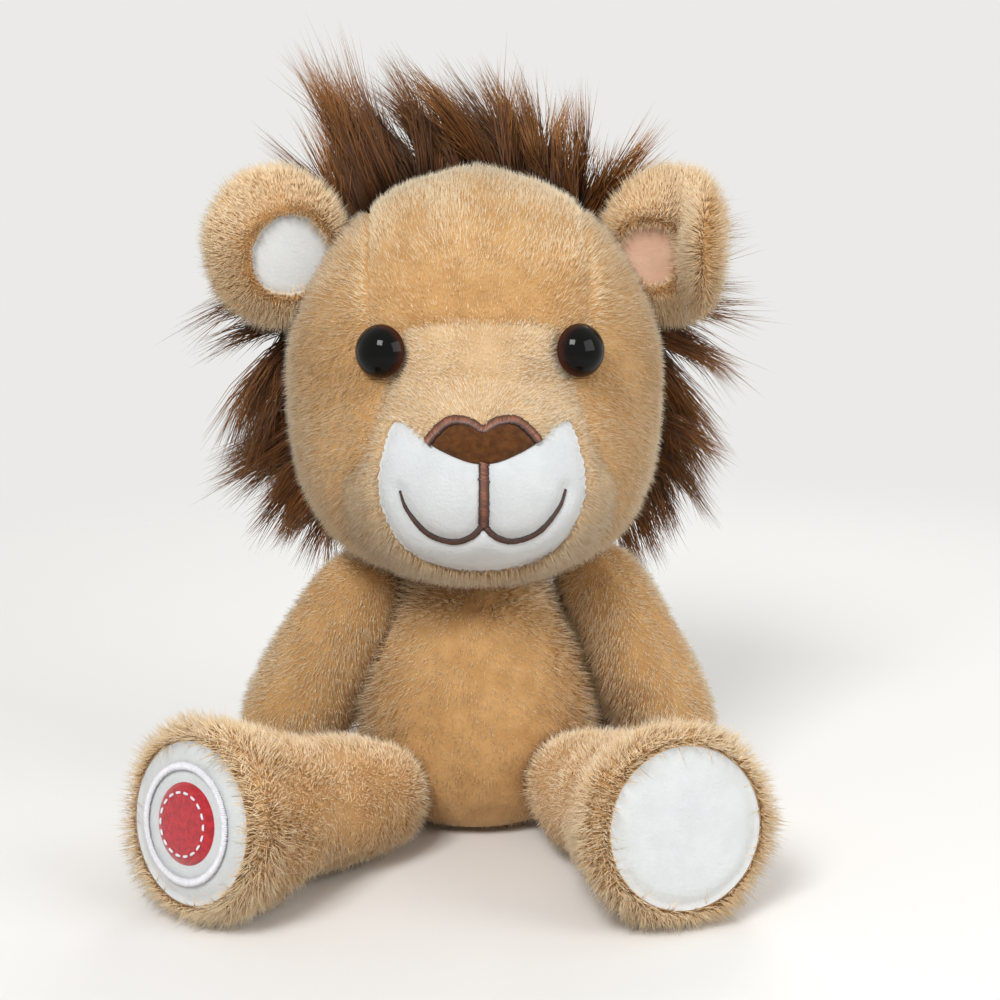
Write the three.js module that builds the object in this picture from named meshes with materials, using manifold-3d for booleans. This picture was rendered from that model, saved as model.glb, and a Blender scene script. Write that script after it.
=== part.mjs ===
// A small sitting plush lion: sewn cloth panels over stuffing, safety eyes, a felt nose and a shaggy mane.
// Millimetres, +Z up. The lion faces -Y and its own left side is +X.
// The origin is the middle of the flat seat that it sits on.
import * as THREE from "three";
import { mergeVertices } from "three/addons/utils/BufferGeometryUtils.js";
import Module from "manifold-3d";

const wasm = await Module();
wasm.setup();

// Cloths, threads and clearances.
const plushThickness = 3;
const feltThickness = 1.2;
const threadWidth = 1.6;
const threadHeight = 1;
const seamGap = 0.3;
const jointGap = 0.5;
const seatFlat = 0.5;
const weldDistance = 0.001;
const blockSize = 400;

// How finely round forms are cut into faces.
const roundSides = 20;
const smallSides = 16;
const coreSides = 12;
const headSides = 24;
const headRings = 16;
const headCoreSides = 16;
const headCoreRings = 11;
const bodySteps = 10;
const limbSteps = 11;
const coreSteps = 10;
const arcSteps = 3;
const roomStep = 26;
const outlineSteps = 26;

// Body: a pear that ends in a round neck inside the head.
const bodyRadius = 27.5;
const neckHeight = 60;
const neckRadius = 14;
const ringDrop = 1.8;
const sideSeamPlace = 8;
const bodyShares = [
  [0, 0],
  [0.4, 0.002],
  [0.7, 0.035],
  [0.92, 0.15],
  [1, 0.34],
  [0.97, 0.53],
  [0.87, 0.7],
  [0.72, 0.86],
];

// Head: an egg with a swelling muzzle, turned a little to the lion's left.
const headAboveNeck = 48.5;
const headHeight = neckHeight + headAboveNeck;
const headHalfWidth = 43.5;
const headHalfDepth = 36;
const headHalfHeight = 45.5;
const crownNarrowingShare = 0.06;
const jawSquareness = 0.7;
const jawFullShare = 0.7;
const headTurn = THREE.MathUtils.degToRad(3);
const muzzleForward = 21;
const muzzleDrop = 22;
const muzzleHalfWidth = 31;
const muzzleHalfDepth = 27;
const muzzleHalfHeight = 23;
const muzzleBlend = 10;
const maneSeamPlace = 11;
const foreheadHalfWidth = 24;
const snoutDepth = 14;

// Face: places are measured from the middle of the head, seen from the front.
const snoutWidth = 62;
const snoutHeight = 58;
const snoutMiddle = -16;
const snoutShares = [
  [-0.27, 0.45],
  [-0.14, 0.49],
  [0.14, 0.49],
  [0.27, 0.45],
  [0.31, 0.28],
  [0.4, 0],
  [0.48, -0.14],
  [0.44, -0.32],
  [0.28, -0.46],
  [0, -0.5],
  [-0.28, -0.46],
  [-0.44, -0.32],
  [-0.48, -0.14],
  [-0.4, 0],
  [-0.31, 0.28],
];
const patchWidth = 44;
const patchHeight = 33;
const patchMiddle = -25;
const patchShares = [
  [-0.41, 0.5],
  [-0.49, 0.26],
  [-0.5, 0],
  [-0.4, -0.3],
  [-0.23, -0.45],
  [0, -0.5],
  [0.23, -0.45],
  [0.4, -0.3],
  [0.5, 0],
  [0.49, 0.26],
  [0.41, 0.5],
  [0.23, 0.36],
  [0, 0.3],
  [-0.23, 0.36],
];
const noseWidth = 24;
const noseHeight = 10;
const noseMiddle = -10.5;
const noseShares = [
  [0, 0.26],
  [0.14, 0.48],
  [0.3, 0.46],
  [0.47, 0.05],
  [0.44, -0.24],
  [0, -0.5],
  [-0.44, -0.24],
  [-0.47, 0.05],
  [-0.3, 0.46],
  [-0.14, 0.48],
];
const smileHalfWidth = 18;
const smileHeight = 11.5;
const smileTop = -22.5;
const smileShares = [
  [0, -0.66],
  [0.14, -0.85],
  [0.36, -0.97],
  [0.66, -0.8],
  [0.9, -0.35],
  [0.98, 0],
];
const philtrumShares = [
  [0, 0.5],
  [0, -0.64],
];

// Safety eyes.
const eyeRadius = 6;
const eyeDomeHeight = 4.8;
const eyeHalfDistance = 21.7;
const eyeHeight = 6.5;
const shankRadius = 1.7;
const shankLength = 12;
const washerRadius = 6.5;
const washerThickness = 1.4;

// Ears: round pads with an inner patch, one of them folded forward.
const earHalfWidth = 17.5;
const earHalfThickness = 5;
const earHalfHeight = 19;
const earOut = 46;
const earBack = 1;
const earUp = 28;
const earCup = 3;
const earPatchHalfWidth = 9.5;
const earPatchHalfHeight = 9.8;
const earPatchIn = 4.5;
const earPatchRecess = 1.2;
const earPatchGap = 0.8;
const earFoldPlace = 0;
const earFoldRadius = 7;
const earFoldAngle = THREE.MathUtils.degToRad(110);
const earSides = 16;

// Mane: a thick mass of hair on the cloth behind the face, with tapering locks that stand out of it.
const maneBulk = 6;
const lockSides = 5;
const lockSink = 3;
const lockSweep = 6;
const lockRadius = 6;
const napeLockRadius = 5;
const crownLength = 35;
const crownBackLength = 28;
const leftLength = 30;
const rightLength = 28;
const sideBackLength = 24;
const napeLockLength = 13;
const maneFrontRow = 17;
const maneBackRow = 27;
const maneNapeRow = 24;
const shortLockShare = 0.82;
const lockShares = [
  [0, 0],
  [1, 0.2],
  [0.7, 0.62],
  [0, 1],
];
const maneRows = [
  { on: "crown", from: -37, to: 37, back: maneFrontRow, count: 8, length: crownLength, leanShare: 0.12 },
  { on: "crown", from: -28, to: 28, back: maneBackRow, count: 5, length: crownBackLength, leanShare: 0.6 },
  { on: "left", from: 57, to: 126, back: maneFrontRow, count: 6, length: leftLength, leanShare: 0.35 },
  { on: "left", from: 62, to: 122, back: maneBackRow, count: 4, length: sideBackLength, leanShare: 0.9 },
  { on: "right", from: -57, to: -126, back: maneFrontRow, count: 6, length: rightLength, leanShare: 0.35 },
  { on: "right", from: -62, to: -122, back: maneBackRow, count: 4, length: sideBackLength, leanShare: 0.9 },
  { on: "nape", from: 150, to: 210, back: maneNapeRow, count: 4, length: napeLockLength, leanShare: 1.4 },
];
const maneCrownEdge = THREE.MathUtils.degToRad(46);
const maneNapeEdge = THREE.MathUtils.degToRad(137);

// Arms hang from the shoulders and lean outward.
const armLength = 36;
const armHalfWidth = 13.2;
const armHalfThickness = 11.2;
const armShares = [
  [0, -0.33],
  [0.54, -0.28],
  [0.84, -0.1],
  [0.95, 0.2],
  [1, 0.55],
  [0.95, 0.95],
  [0.72, 1.18],
  [0, 1.3],
];
const armPlaces = {
  left: { x: 30.6, y: 1, z: 54, lean: 27, twist: 50 },
  right: { x: -28.5, y: -1, z: 52, lean: -28, twist: 0 },
};
const armRaise = 45;
const armRoom = 0.6;

// Legs point forward, and the foot swells to a flat sole.
const legLength = 56;
const hipRadius = 12.6;
const thighRadius = 15.2;
const footRadius = 21;
const footRimShare = 0.9;
const hipShares = [
  [0, -0.95],
  [0.62, -0.74],
  [0.95, -0.25],
];
const legShares = [
  { hip: 0.4, thigh: 0.6, foot: 0, sole: 0, along: 0.12 },
  { hip: 0, thigh: 1, foot: 0, sole: 0, along: 0.4 },
  { hip: 0, thigh: 0.5, foot: 0.5, sole: 0, along: 0.66 },
  { hip: 0, thigh: 0, foot: 1, sole: 0, along: footRimShare },
  { hip: 0, thigh: 0, foot: 0.45, sole: 0.55, along: 0.985 },
  { hip: 0, thigh: 0, foot: 0, sole: 1, along: 1 },
];
const crownShares = [
  [0.5, 0.7],
  [0, 1],
];
const hipHeight = 13.4;
const soleRadius = 16.4;
const soleCrown = 0.8;
const solePatchRadius = 8.6;
const soleRingRadius = 12.6;
const legPlaces = {
  left: { x: 24.5, y: -24, splay: 21 },
  right: { x: -23, y: -30, splay: -40 },
};
const legRoom = 1;
const legDrop = -55;
const legLift = 20;

// Tail: a narrow cloth tube with a tuft, lying on the floor behind.
const tailRadius = 3.6;
const tailHeight = 12;
const tailLength = 40;
const tailSweep = 26;
const tuftLength = 24;
const tuftRadius = 7;
const tailShares = [
  [0, 0, 0],
  [0.12, 0.35, 0.7],
  [0.5, 0.7, 1],
  [1, 0.9, 1],
];
const tuftShares = [
  [0, 0],
  [0.7, 0.05],
  [1, 0.35],
  [0.6, 0.75],
  [0, 1],
];

// The closing seam is sewn by hand down the middle of the back.
const closingSeamFrom = 14;
const closingSeamTo = 46;

const finishes = {
  tanPlush: { color: 0xcfa878, roughness: 0.85, metalness: 0 },
  paleSnout: { color: 0xdcc0a0, roughness: 0.8, metalness: 0 },
  whiteVelour: { color: 0xe6e6ea, roughness: 0.85, metalness: 0 },
  pinkVelour: { color: 0xd9b8ae, roughness: 0.85, metalness: 0 },
  maneBrown: { color: 0x5a2d17, roughness: 0.75, metalness: 0 },
  noseFelt: { color: 0x5f3820, roughness: 0.95, metalness: 0 },
  brownThread: { color: 0x6e3e2c, roughness: 0.55, metalness: 0 },
  tanThread: { color: 0xc49a68, roughness: 0.7, metalness: 0 },
  whiteThread: { color: 0xeeeeee, roughness: 0.6, metalness: 0 },
  redPrint: { color: 0xb01724, roughness: 0.6, metalness: 0 },
  blackPlastic: { color: 0x0b0908, roughness: 0.08, metalness: 0 },
  washerPlastic: { color: 0xe8e4da, roughness: 0.4, metalness: 0 },
  stuffing: { color: 0xf4f2ee, roughness: 0.95, metalness: 0 },
};

// A closed geometry as a solid that can be joined and cut.
function solidOf(geometry) {
  const bare = new THREE.BufferGeometry();
  bare.setAttribute("position", geometry.getAttribute("position"));
  bare.setIndex(geometry.index);
  const merged = mergeVertices(bare, weldDistance);
  const index = merged.index.array;
  const kept = [];
  for (let i = 0; i < index.length; i += 3) {
    const [a, b, c] = index.slice(i, i + 3);
    if (a !== b && b !== c && c !== a) kept.push(a, b, c);
  }
  const vertProperties = merged.getAttribute("position").array;
  const triVerts = new Uint32Array(kept);
  return new wasm.Manifold(new wasm.Mesh({ numProp: 3, vertProperties, triVerts }));
}

// A named mesh with its own material from a finished solid.
function meshOf(name, solid, finish) {
  const { vertProperties, triVerts } = solid.getMesh();
  const geometry = new THREE.BufferGeometry();
  geometry.setAttribute("position", new THREE.BufferAttribute(new Float32Array(vertProperties), 3));
  geometry.setIndex(new THREE.BufferAttribute(new Uint32Array(triVerts), 1));
  geometry.computeVertexNormals();
  const mesh = new THREE.Mesh(geometry, new THREE.MeshStandardMaterial(finish));
  mesh.name = name;
  return mesh;
}

// A block between two corners.
function block(low, high) {
  const size = new THREE.Vector3().subVectors(high, low);
  const middle = new THREE.Vector3().addVectors(low, high).multiplyScalar(0.5);
  return new THREE.BoxGeometry(size.x, size.y, size.z).translate(middle.x, middle.y, middle.z);
}

// The space on the far side of a plane: axis names the direction, sign the side that is kept.
function halfSpace(axis, place, sign) {
  const low = new THREE.Vector3(-blockSize, -blockSize, -blockSize);
  const high = new THREE.Vector3(blockSize, blockSize, blockSize);
  if (sign > 0) low[axis] = place;
  else high[axis] = place;
  return solidOf(block(low, high));
}

// An outline seen from the front, run through in depth from one place to another.
function prism(points, from, to) {
  const shape = new THREE.Shape(points);
  const extruded = new THREE.ExtrudeGeometry(shape, { depth: to - from, bevelEnabled: false });
  return solidOf(extruded.rotateX(Math.PI / 2).translate(0, to, 0));
}

// The smooth closed outline through points given as shares of a width and a height.
function outline(shares, width, height, middle, samples) {
  const points = shares.map(([x, z]) => new THREE.Vector3(x * width, middle + z * height, 0));
  const curve = new THREE.CatmullRomCurve3(points, true, "centripetal");
  const loop = curve.getPoints(samples).slice(0, -1);
  return loop.map((point) => new THREE.Vector2(point.x, point.y));
}

// The same outline, moved outward by a margin.
function grown(points, margin) {
  const turn = THREE.ShapeUtils.area(points) > 0 ? 1 : -1;
  return points.map((point, i) => {
    const before = points[(i + points.length - 1) % points.length];
    const after = points[(i + 1) % points.length];
    const along = new THREE.Vector2().subVectors(after, before).normalize();
    return new THREE.Vector2(point.x + turn * margin * along.y, point.y - turn * margin * along.x);
  });
}

// A narrow band that follows an open curve, for a row of stitches.
function band(points, width) {
  const samples = points.length * 2;
  const curve = new THREE.SplineCurve(points);
  const sides = [[], []];
  for (let i = 0; i <= samples; i += 1) {
    const point = curve.getPoint(i / samples);
    const along = curve.getTangent(i / samples);
    const out = new THREE.Vector2(along.y, -along.x).multiplyScalar(width / 2);
    sides[0].push(point.clone().add(out));
    sides[1].unshift(point.clone().sub(out));
  }
  return [...sides[0], ...sides[1]];
}

// A turned form about +Z from its profile, moved outward by a margin (inward where it is negative).
function turned(profile, margin, sides) {
  const last = profile.length - 1;
  const moved = profile.map((point, i) => {
    const before = profile[Math.max(i - 1, 0)];
    const after = profile[Math.min(i + 1, last)];
    const along = new THREE.Vector2().subVectors(after, before).normalize();
    if (i === 0) return new THREE.Vector2(0, point.y - margin);
    if (i === last) return new THREE.Vector2(0, point.y + margin);
    return new THREE.Vector2(Math.max(point.x + margin * along.y, seamGap), point.y - margin * along.x);
  });
  return new THREE.LatheGeometry(moved, sides).rotateX(Math.PI / 2);
}

// A smooth profile through hand-chosen points.
function smoothProfile(points, steps) {
  const smooth = new THREE.SplineCurve(points).getPoints(steps);
  smooth[0].x = 0;
  smooth[smooth.length - 1].x = 0;
  return smooth;
}

// A round rod about +Z between two heights.
function rod(radius, from, to, sides) {
  const geometry = new THREE.CylinderGeometry(radius, radius, to - from, sides);
  return geometry.rotateX(Math.PI / 2).translate(0, 0, (from + to) / 2);
}

// A group's own view of a shape that is given in the lion's frame.
function seenFrom(group, geometry) {
  return geometry.clone().applyMatrix4(group.matrixWorld.clone().invert());
}

// The room that a limb needs as it turns about its joint: its form at every few degrees of the turn.
function sweptRoom(form, from, to, group, axis) {
  const steps = Math.ceil((to - from) / roomStep);
  let room;
  for (let i = 0; i <= steps; i += 1) {
    const angle = THREE.MathUtils.degToRad(THREE.MathUtils.lerp(from, to, i / steps));
    const turn = new THREE.Quaternion().setFromAxisAngle(axis, angle).multiply(group.quaternion);
    const place = new THREE.Matrix4().compose(group.position, turn, group.scale);
    const copy = solidOf(form.clone().applyMatrix4(place));
    room = room ? room.add(copy) : copy;
  }
  return room;
}

const lion = new THREE.Group();
const floor = block(
  new THREE.Vector3(-blockSize, -blockSize, -blockSize),
  new THREE.Vector3(blockSize, blockSize, 0),
);

// Body form.
const bodyCurve = bodyShares.map(([radius, height]) => {
  return new THREE.Vector2(radius * bodyRadius, height * neckHeight - seatFlat);
});
bodyCurve.push(new THREE.Vector2(neckRadius, neckHeight));
const bodyProfile = new THREE.SplineCurve(bodyCurve).getPoints(bodySteps);
bodyProfile[0].x = 0;
for (let i = 1; i <= arcSteps; i += 1) {
  const angle = (i / arcSteps) * (Math.PI / 2);
  const [radius, above] = [neckRadius * Math.cos(angle), neckRadius * Math.sin(angle)];
  bodyProfile.push(new THREE.Vector2(radius, neckHeight + above));
}
bodyProfile[bodyProfile.length - 1].x = 0;

// How far the body's surface lies from its middle at a height.
function bodyReach(height) {
  for (let i = 1; i < bodyProfile.length; i += 1) {
    const [low, high] = [bodyProfile[i - 1], bodyProfile[i]];
    if (height <= high.y) return THREE.MathUtils.mapLinear(height, low.y, high.y, low.x, high.x);
  }
  return 0;
}

// Legs.
const legCurve = hipShares.map(([radius, along]) => {
  return new THREE.Vector2(radius * hipRadius, along * hipRadius);
});
for (const share of legShares) {
  const narrow = share.hip * hipRadius + share.thigh * thighRadius;
  const wide = share.foot * footRadius + share.sole * soleRadius;
  legCurve.push(new THREE.Vector2(narrow + wide, share.along * legLength));
}
for (const [radius, along] of crownShares) {
  legCurve.push(new THREE.Vector2(radius * soleRadius, legLength + along * soleCrown));
}
const legProfile = smoothProfile(legCurve, limbSteps);
const legCoreProfile = smoothProfile(legCurve, coreSteps);
const footRise = Math.asin((footRadius - seatFlat - hipHeight) / (legLength * footRimShare));
const legGroups = {};
for (const [side, place] of Object.entries(legPlaces)) {
  const group = new THREE.Group();
  group.position.set(place.x, place.y, hipHeight);
  group.rotation.set(Math.PI / 2 - footRise, 0, THREE.MathUtils.degToRad(place.splay), "ZYX");
  lion.add(group);
  legGroups[side] = group;
}

// Arms.
const armCurve = armShares.map(([radius, along]) => {
  return new THREE.Vector2(radius * armHalfWidth, along * armLength);
});
const armProfile = smoothProfile(armCurve, coreSteps);
const armGroups = {};
for (const [side, place] of Object.entries(armPlaces)) {
  const group = new THREE.Group();
  group.position.set(place.x, place.y, place.z);
  const lean = THREE.MathUtils.degToRad(-place.lean);
  group.rotation.set(Math.PI, lean, 0, "ZYX");
  group.rotateZ(THREE.MathUtils.degToRad(place.twist));
  lion.add(group);
  armGroups[side] = group;
}

// An arm's form in its own frame: round profile, flattened.
function armForm(margin, sides) {
  const form = turned(armProfile, 0, sides);
  const across = (armHalfThickness + margin) / armHalfWidth;
  const wide = (armHalfWidth + margin) / armHalfWidth;
  const ends = (armLength + margin) / armLength;
  return form.scale(wide, across, ends);
}
lion.updateMatrixWorld(true);

// The space that the limbs need inside the body.
const hipRoom = hipRadius + jointGap;
const thighRoom = thighRadius + legRoom;
const legRoomProfile = [];
for (let i = 0; i <= arcSteps; i += 1) {
  const angle = (i / arcSteps) * (Math.PI / 2);
  legRoomProfile.push(new THREE.Vector2(hipRoom * Math.sin(angle), -hipRoom * Math.cos(angle)));
}
legRoomProfile.push(new THREE.Vector2(thighRoom, thighRadius), new THREE.Vector2(thighRoom, legLength));
legRoomProfile.push(new THREE.Vector2(0, legLength));
const legRoomForm = turned(legRoomProfile, 0, coreSides);
const armFlatness = armHalfThickness / armHalfWidth;
const armRoomForm = turned(armProfile, armRoom, coreSides).scale(1, armFlatness, 1);
const legAxes = {};
const armAxes = {};
let limbSpace;
for (const side of ["left", "right"]) {
  const splay = THREE.MathUtils.degToRad(legPlaces[side].splay);
  legAxes[side] = new THREE.Vector3(-Math.cos(splay), -Math.sin(splay), 0);
  armAxes[side] = new THREE.Vector3(0, side === "left" ? -1 : 1, 0);
  const legSpace = sweptRoom(legRoomForm, legDrop, legLift, legGroups[side], legAxes[side]);
  const armSpace = sweptRoom(armRoomForm, 0, armRaise, armGroups[side], armAxes[side]);
  limbSpace = limbSpace ? limbSpace.add(legSpace) : legSpace;
  limbSpace = limbSpace.add(armSpace);
}

// Body skin and stuffing.
const bodySkin = solidOf(turned(bodyProfile, 0, roundSides))
  .subtract(solidOf(turned(bodyProfile, -plushThickness, coreSides)))
  .subtract(solidOf(floor))
  .subtract(limbSpace);
const seamHalf = seamGap / 2;
const threadPath = [];
const threadPoints = 8;
for (let i = 0; i < threadPoints; i += 1) {
  const height = THREE.MathUtils.lerp(closingSeamFrom, closingSeamTo, i / (threadPoints - 1));
  threadPath.push(new THREE.Vector3(0, bodyReach(height) - threadHeight / 2, height));
}

// A thread along a path, with a square-ended round section.
function thread(path, radius) {
  const section = new THREE.Shape();
  section.absarc(0, 0, radius, 0, 2 * Math.PI);
  const curve = new THREE.CatmullRomCurve3(path);
  const options = { steps: path.length, curveSegments: 3, extrudePath: curve, bevelEnabled: false };
  return solidOf(new THREE.ExtrudeGeometry(section, options));
}
const seamGroove = thread(threadPath, threadHeight / 2 + seamGap);
const frontSkin = bodySkin.intersect(halfSpace("y", sideSeamPlace - seamHalf, -1));
const backSkin = bodySkin.intersect(halfSpace("y", sideSeamPlace + seamHalf, 1)).subtract(seamGroove);
lion.add(
  meshOf("body_front_panel", frontSkin, finishes.tanPlush),
  meshOf("body_back_panel_left", backSkin.intersect(halfSpace("x", seamHalf, 1)), finishes.tanPlush),
  meshOf("body_back_panel_right", backSkin.intersect(halfSpace("x", -seamHalf, -1)), finishes.tanPlush),
  meshOf("closing_seam_thread", thread(threadPath.slice(1, -1), threadHeight / 2), finishes.tanThread),
);
const bodyStuffing = solidOf(turned(bodyProfile, -plushThickness - seamGap, coreSides)).subtract(limbSpace);
lion.add(meshOf("body_stuffing", bodyStuffing, finishes.stuffing));

// Arm panels and stuffing.
for (const side of ["left", "right"]) {
  const group = armGroups[side];
  const skin = solidOf(armForm(0, smallSides)).subtract(solidOf(armForm(-plushThickness, coreSides)));
  const front = skin.intersect(halfSpace("y", seamHalf, 1));
  const back = skin.intersect(halfSpace("y", -seamHalf, -1));
  const stuffing = solidOf(armForm(-plushThickness - seamGap, coreSides));
  group.add(
    meshOf(`arm_${side}_front_panel`, front, finishes.tanPlush),
    meshOf(`arm_${side}_back_panel`, back, finishes.tanPlush),
    meshOf(`arm_${side}_stuffing`, stuffing, finishes.stuffing),
  );
}

// Leg panels, sole pads and stuffing.
for (const side of ["left", "right"]) {
  const group = legGroups[side];
  const outer = solidOf(turned(legProfile, 0, roundSides)).subtract(solidOf(seenFrom(group, floor)));
  const inner = solidOf(turned(legCoreProfile, -plushThickness, coreSides));
  const soleFrom = legLength - plushThickness;
  const soleTo = legLength + footRadius;
  const opening = solidOf(rod(soleRadius + seamGap, soleFrom - seamGap, soleTo, roundSides));
  const skin = outer.subtract(inner).subtract(opening);
  const pad = outer.intersect(solidOf(rod(soleRadius, soleFrom, soleTo, roundSides)));
  const beyond = solidOf(rod(2 * footRadius, soleFrom - seamGap, soleTo, coreSides));
  const stuffing = solidOf(turned(legCoreProfile, -plushThickness - seamGap, coreSides)).subtract(beyond);
  const outward = side === "left" ? 1 : -1;
  const outerSkin = skin.intersect(halfSpace("x", outward * seamHalf, outward));
  const innerSkin = skin.intersect(halfSpace("x", -outward * seamHalf, -outward));
  group.add(
    meshOf(`leg_${side}_outer_panel`, outerSkin, finishes.tanPlush),
    meshOf(`leg_${side}_inner_panel`, innerSkin, finishes.tanPlush),
    meshOf(`leg_${side}_sole`, pad, finishes.whiteVelour),
    meshOf(`leg_${side}_stuffing`, stuffing, finishes.stuffing),
  );
}

// The right sole carries a round patch inside a ring of satin stitches.
function soleLayer(low, high) {
  const lower = solidOf(turned(legProfile, low, roundSides));
  return solidOf(turned(legProfile, high, roundSides)).subtract(lower);
}
const layerFrom = legLength - plushThickness;
const layerTo = legLength + footRadius;
const ringOuter = solidOf(rod(soleRingRadius + threadWidth / 2, layerFrom, layerTo, roundSides));
const ringInner = solidOf(rod(soleRingRadius - threadWidth / 2, layerFrom, layerTo, roundSides));
const patchDisc = solidOf(rod(solePatchRadius, layerFrom, layerTo, roundSides));
legGroups.right.add(
  meshOf("sole_patch", soleLayer(seamGap, seamGap + feltThickness).intersect(patchDisc), finishes.redPrint),
  meshOf(
    "sole_ring_stitch",
    soleLayer(seamGap, seamGap + threadHeight).intersect(ringOuter.subtract(ringInner)),
    finishes.whiteThread,
  ),
);

// Head form: in each direction from its middle, the larger of the egg and the muzzle, blended.
function headReach(direction, margin) {
  const narrowing = 1 - crownNarrowingShare * direction.z;
  const power = 2 + jawSquareness * THREE.MathUtils.smoothstep(-direction.z, 0, jawFullShare);
  const eggReach =
    ((Math.abs(direction.x) / ((headHalfWidth + margin) * narrowing)) ** power +
      (Math.abs(direction.y) / (headHalfDepth + margin)) ** power +
      (Math.abs(direction.z) / (headHalfHeight + margin)) ** power) **
    (-1 / power);
  const size = new THREE.Vector3(muzzleHalfWidth, muzzleHalfDepth, muzzleHalfHeight).addScalar(margin);
  const way = direction.clone().divide(size);
  const middle = new THREE.Vector3(0, -muzzleForward, -muzzleDrop).divide(size);
  const along = way.dot(middle);
  const rest = along * along - way.lengthSq() * (middle.lengthSq() - 1);
  const muzzleReach = rest > 0 ? Math.max((along + Math.sqrt(rest)) / way.lengthSq(), 0) : 0;
  return (eggReach ** muzzleBlend + muzzleReach ** muzzleBlend) ** (1 / muzzleBlend);
}
function headForm(margin, around, along) {
  const form = new THREE.SphereGeometry(1, around, along);
  const places = form.getAttribute("position");
  const point = new THREE.Vector3();
  for (let i = 0; i < places.count; i += 1) {
    point.fromBufferAttribute(places, i).normalize();
    point.multiplyScalar(headReach(point, margin));
    places.setXYZ(i, point.x, point.y, point.z);
  }
  return solidOf(form);
}
const head = new THREE.Group();
head.position.set(0, 0, headHeight);
head.rotation.z = headTurn;
lion.add(head);
head.updateMatrixWorld(true);

const neckBall = new THREE.SphereGeometry(neckRadius + jointGap, roundSides, coreSides);
const neckSpace = solidOf(neckBall.translate(0, 0, neckHeight - headHeight));
const headHollow = headForm(-plushThickness, headCoreSides, headCoreRings);
const headSkin = headForm(0, headSides, headRings).subtract(headHollow).subtract(neckSpace);
const reach = 2 * muzzleHalfDepth + headHalfDepth;

// Eyes: a dome on a shank through the cloth, locked by a washer behind it.
const eyes = [];
let shankSpace;
let washerSpace;
for (const [side, sign] of [["left", 1], ["right", -1]]) {
  const across = sign * eyeHalfDistance;
  const flat = (across / headHalfWidth) ** 2 + (eyeHeight / headHalfHeight) ** 2;
  const depth = -headHalfDepth * Math.sqrt(1 - flat);
  const direction = new THREE.Vector3(across, depth, eyeHeight).normalize();
  const seat = direction.clone().multiplyScalar(headReach(direction, 0));
  const normal = new THREE.Vector3(
    seat.x / headHalfWidth ** 2,
    seat.y / headHalfDepth ** 2,
    seat.z / headHalfHeight ** 2,
  ).normalize();
  const group = new THREE.Group();
  group.position.copy(seat.addScaledVector(normal, seamGap));
  group.quaternion.setFromUnitVectors(new THREE.Vector3(0, 0, 1), normal);
  head.add(group);
  group.updateMatrixWorld(true);
  const domeSteps = arcSteps + 1;
  const profile = [new THREE.Vector2(0, -shankLength), new THREE.Vector2(shankRadius, -shankLength)];
  profile.push(new THREE.Vector2(shankRadius, 0));
  for (let i = 0; i <= domeSteps; i += 1) {
    const angle = (i / domeSteps) * (Math.PI / 2);
    const radius = i === domeSteps ? 0 : eyeRadius * Math.cos(angle);
    profile.push(new THREE.Vector2(radius, eyeDomeHeight * Math.sin(angle)));
  }
  const eye = new THREE.LatheGeometry(profile, smallSides).rotateX(Math.PI / 2);
  group.add(meshOf(`eye_${side}`, solidOf(eye), finishes.blackPlastic));
  const washerTop = -plushThickness - 2 * seamGap - washerRadius ** 2 / headHalfDepth;
  const washerLow = washerTop - washerThickness;
  const bore = solidOf(rod(shankRadius + seamGap, -shankLength, 0, coreSides));
  const washer = solidOf(rod(washerRadius, washerLow, washerTop, smallSides)).subtract(bore);
  group.add(meshOf(`eye_${side}_washer`, washer, finishes.washerPlastic));
  const local = new THREE.Matrix4().compose(group.position, group.quaternion, group.scale);
  const shankHole = rod(shankRadius + seamGap, -shankLength - seamGap, eyeDomeHeight, coreSides);
  const shank = solidOf(shankHole.applyMatrix4(local));
  const washerHole = rod(washerRadius + seamGap, washerLow - seamGap, eyeDomeHeight, smallSides);
  const pocket = solidOf(washerHole.applyMatrix4(local));
  eyes.push(group);
  shankSpace = shankSpace ? shankSpace.add(shank) : shank;
  washerSpace = washerSpace ? washerSpace.add(pocket) : pocket;
}
const pierced = headSkin.subtract(shankSpace);

// Face panels.
const snoutOutline = outline(snoutShares, snoutWidth, snoutHeight, snoutMiddle, outlineSteps);
const patchOutline = outline(patchShares, patchWidth, patchHeight, patchMiddle, outlineSteps);
const snoutPrism = prism(snoutOutline, -reach, -snoutDepth);
const patchPrism = prism(patchOutline, -reach, -snoutDepth);
const aroundSnout = prism(grown(snoutOutline, seamGap), -reach, -snoutDepth + seamGap);
const aroundPatch = prism(grown(patchOutline, seamGap), -reach, -snoutDepth);
const face = pierced.intersect(halfSpace("y", maneSeamPlace - seamHalf, -1)).subtract(aroundSnout);
const foreheadBlock = solidOf(
  block(
    new THREE.Vector3(-foreheadHalfWidth, -blockSize, 0),
    new THREE.Vector3(foreheadHalfWidth, blockSize, blockSize),
  ),
);
const aroundForehead = solidOf(
  block(
    new THREE.Vector3(-foreheadHalfWidth - seamGap, -blockSize, -seamGap),
    new THREE.Vector3(foreheadHalfWidth + seamGap, blockSize, blockSize),
  ),
);
const cheeks = face.subtract(aroundForehead);
head.add(
  meshOf("forehead_panel", face.intersect(foreheadBlock), finishes.tanPlush),
  meshOf("cheek_panel_left", cheeks.intersect(halfSpace("x", seamHalf, 1)), finishes.tanPlush),
  meshOf("cheek_panel_right", cheeks.intersect(halfSpace("x", -seamHalf, -1)), finishes.tanPlush),
  meshOf("snout_panel", pierced.intersect(snoutPrism).subtract(aroundPatch), finishes.paleSnout),
  meshOf("muzzle_patch", pierced.intersect(patchPrism), finishes.whiteVelour),
);
const headStuffing = headForm(-plushThickness - seamGap, headCoreSides, headCoreRings)
  .subtract(neckSpace)
  .subtract(shankSpace)
  .subtract(washerSpace);
head.add(meshOf("head_stuffing", headStuffing, finishes.stuffing));

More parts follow.
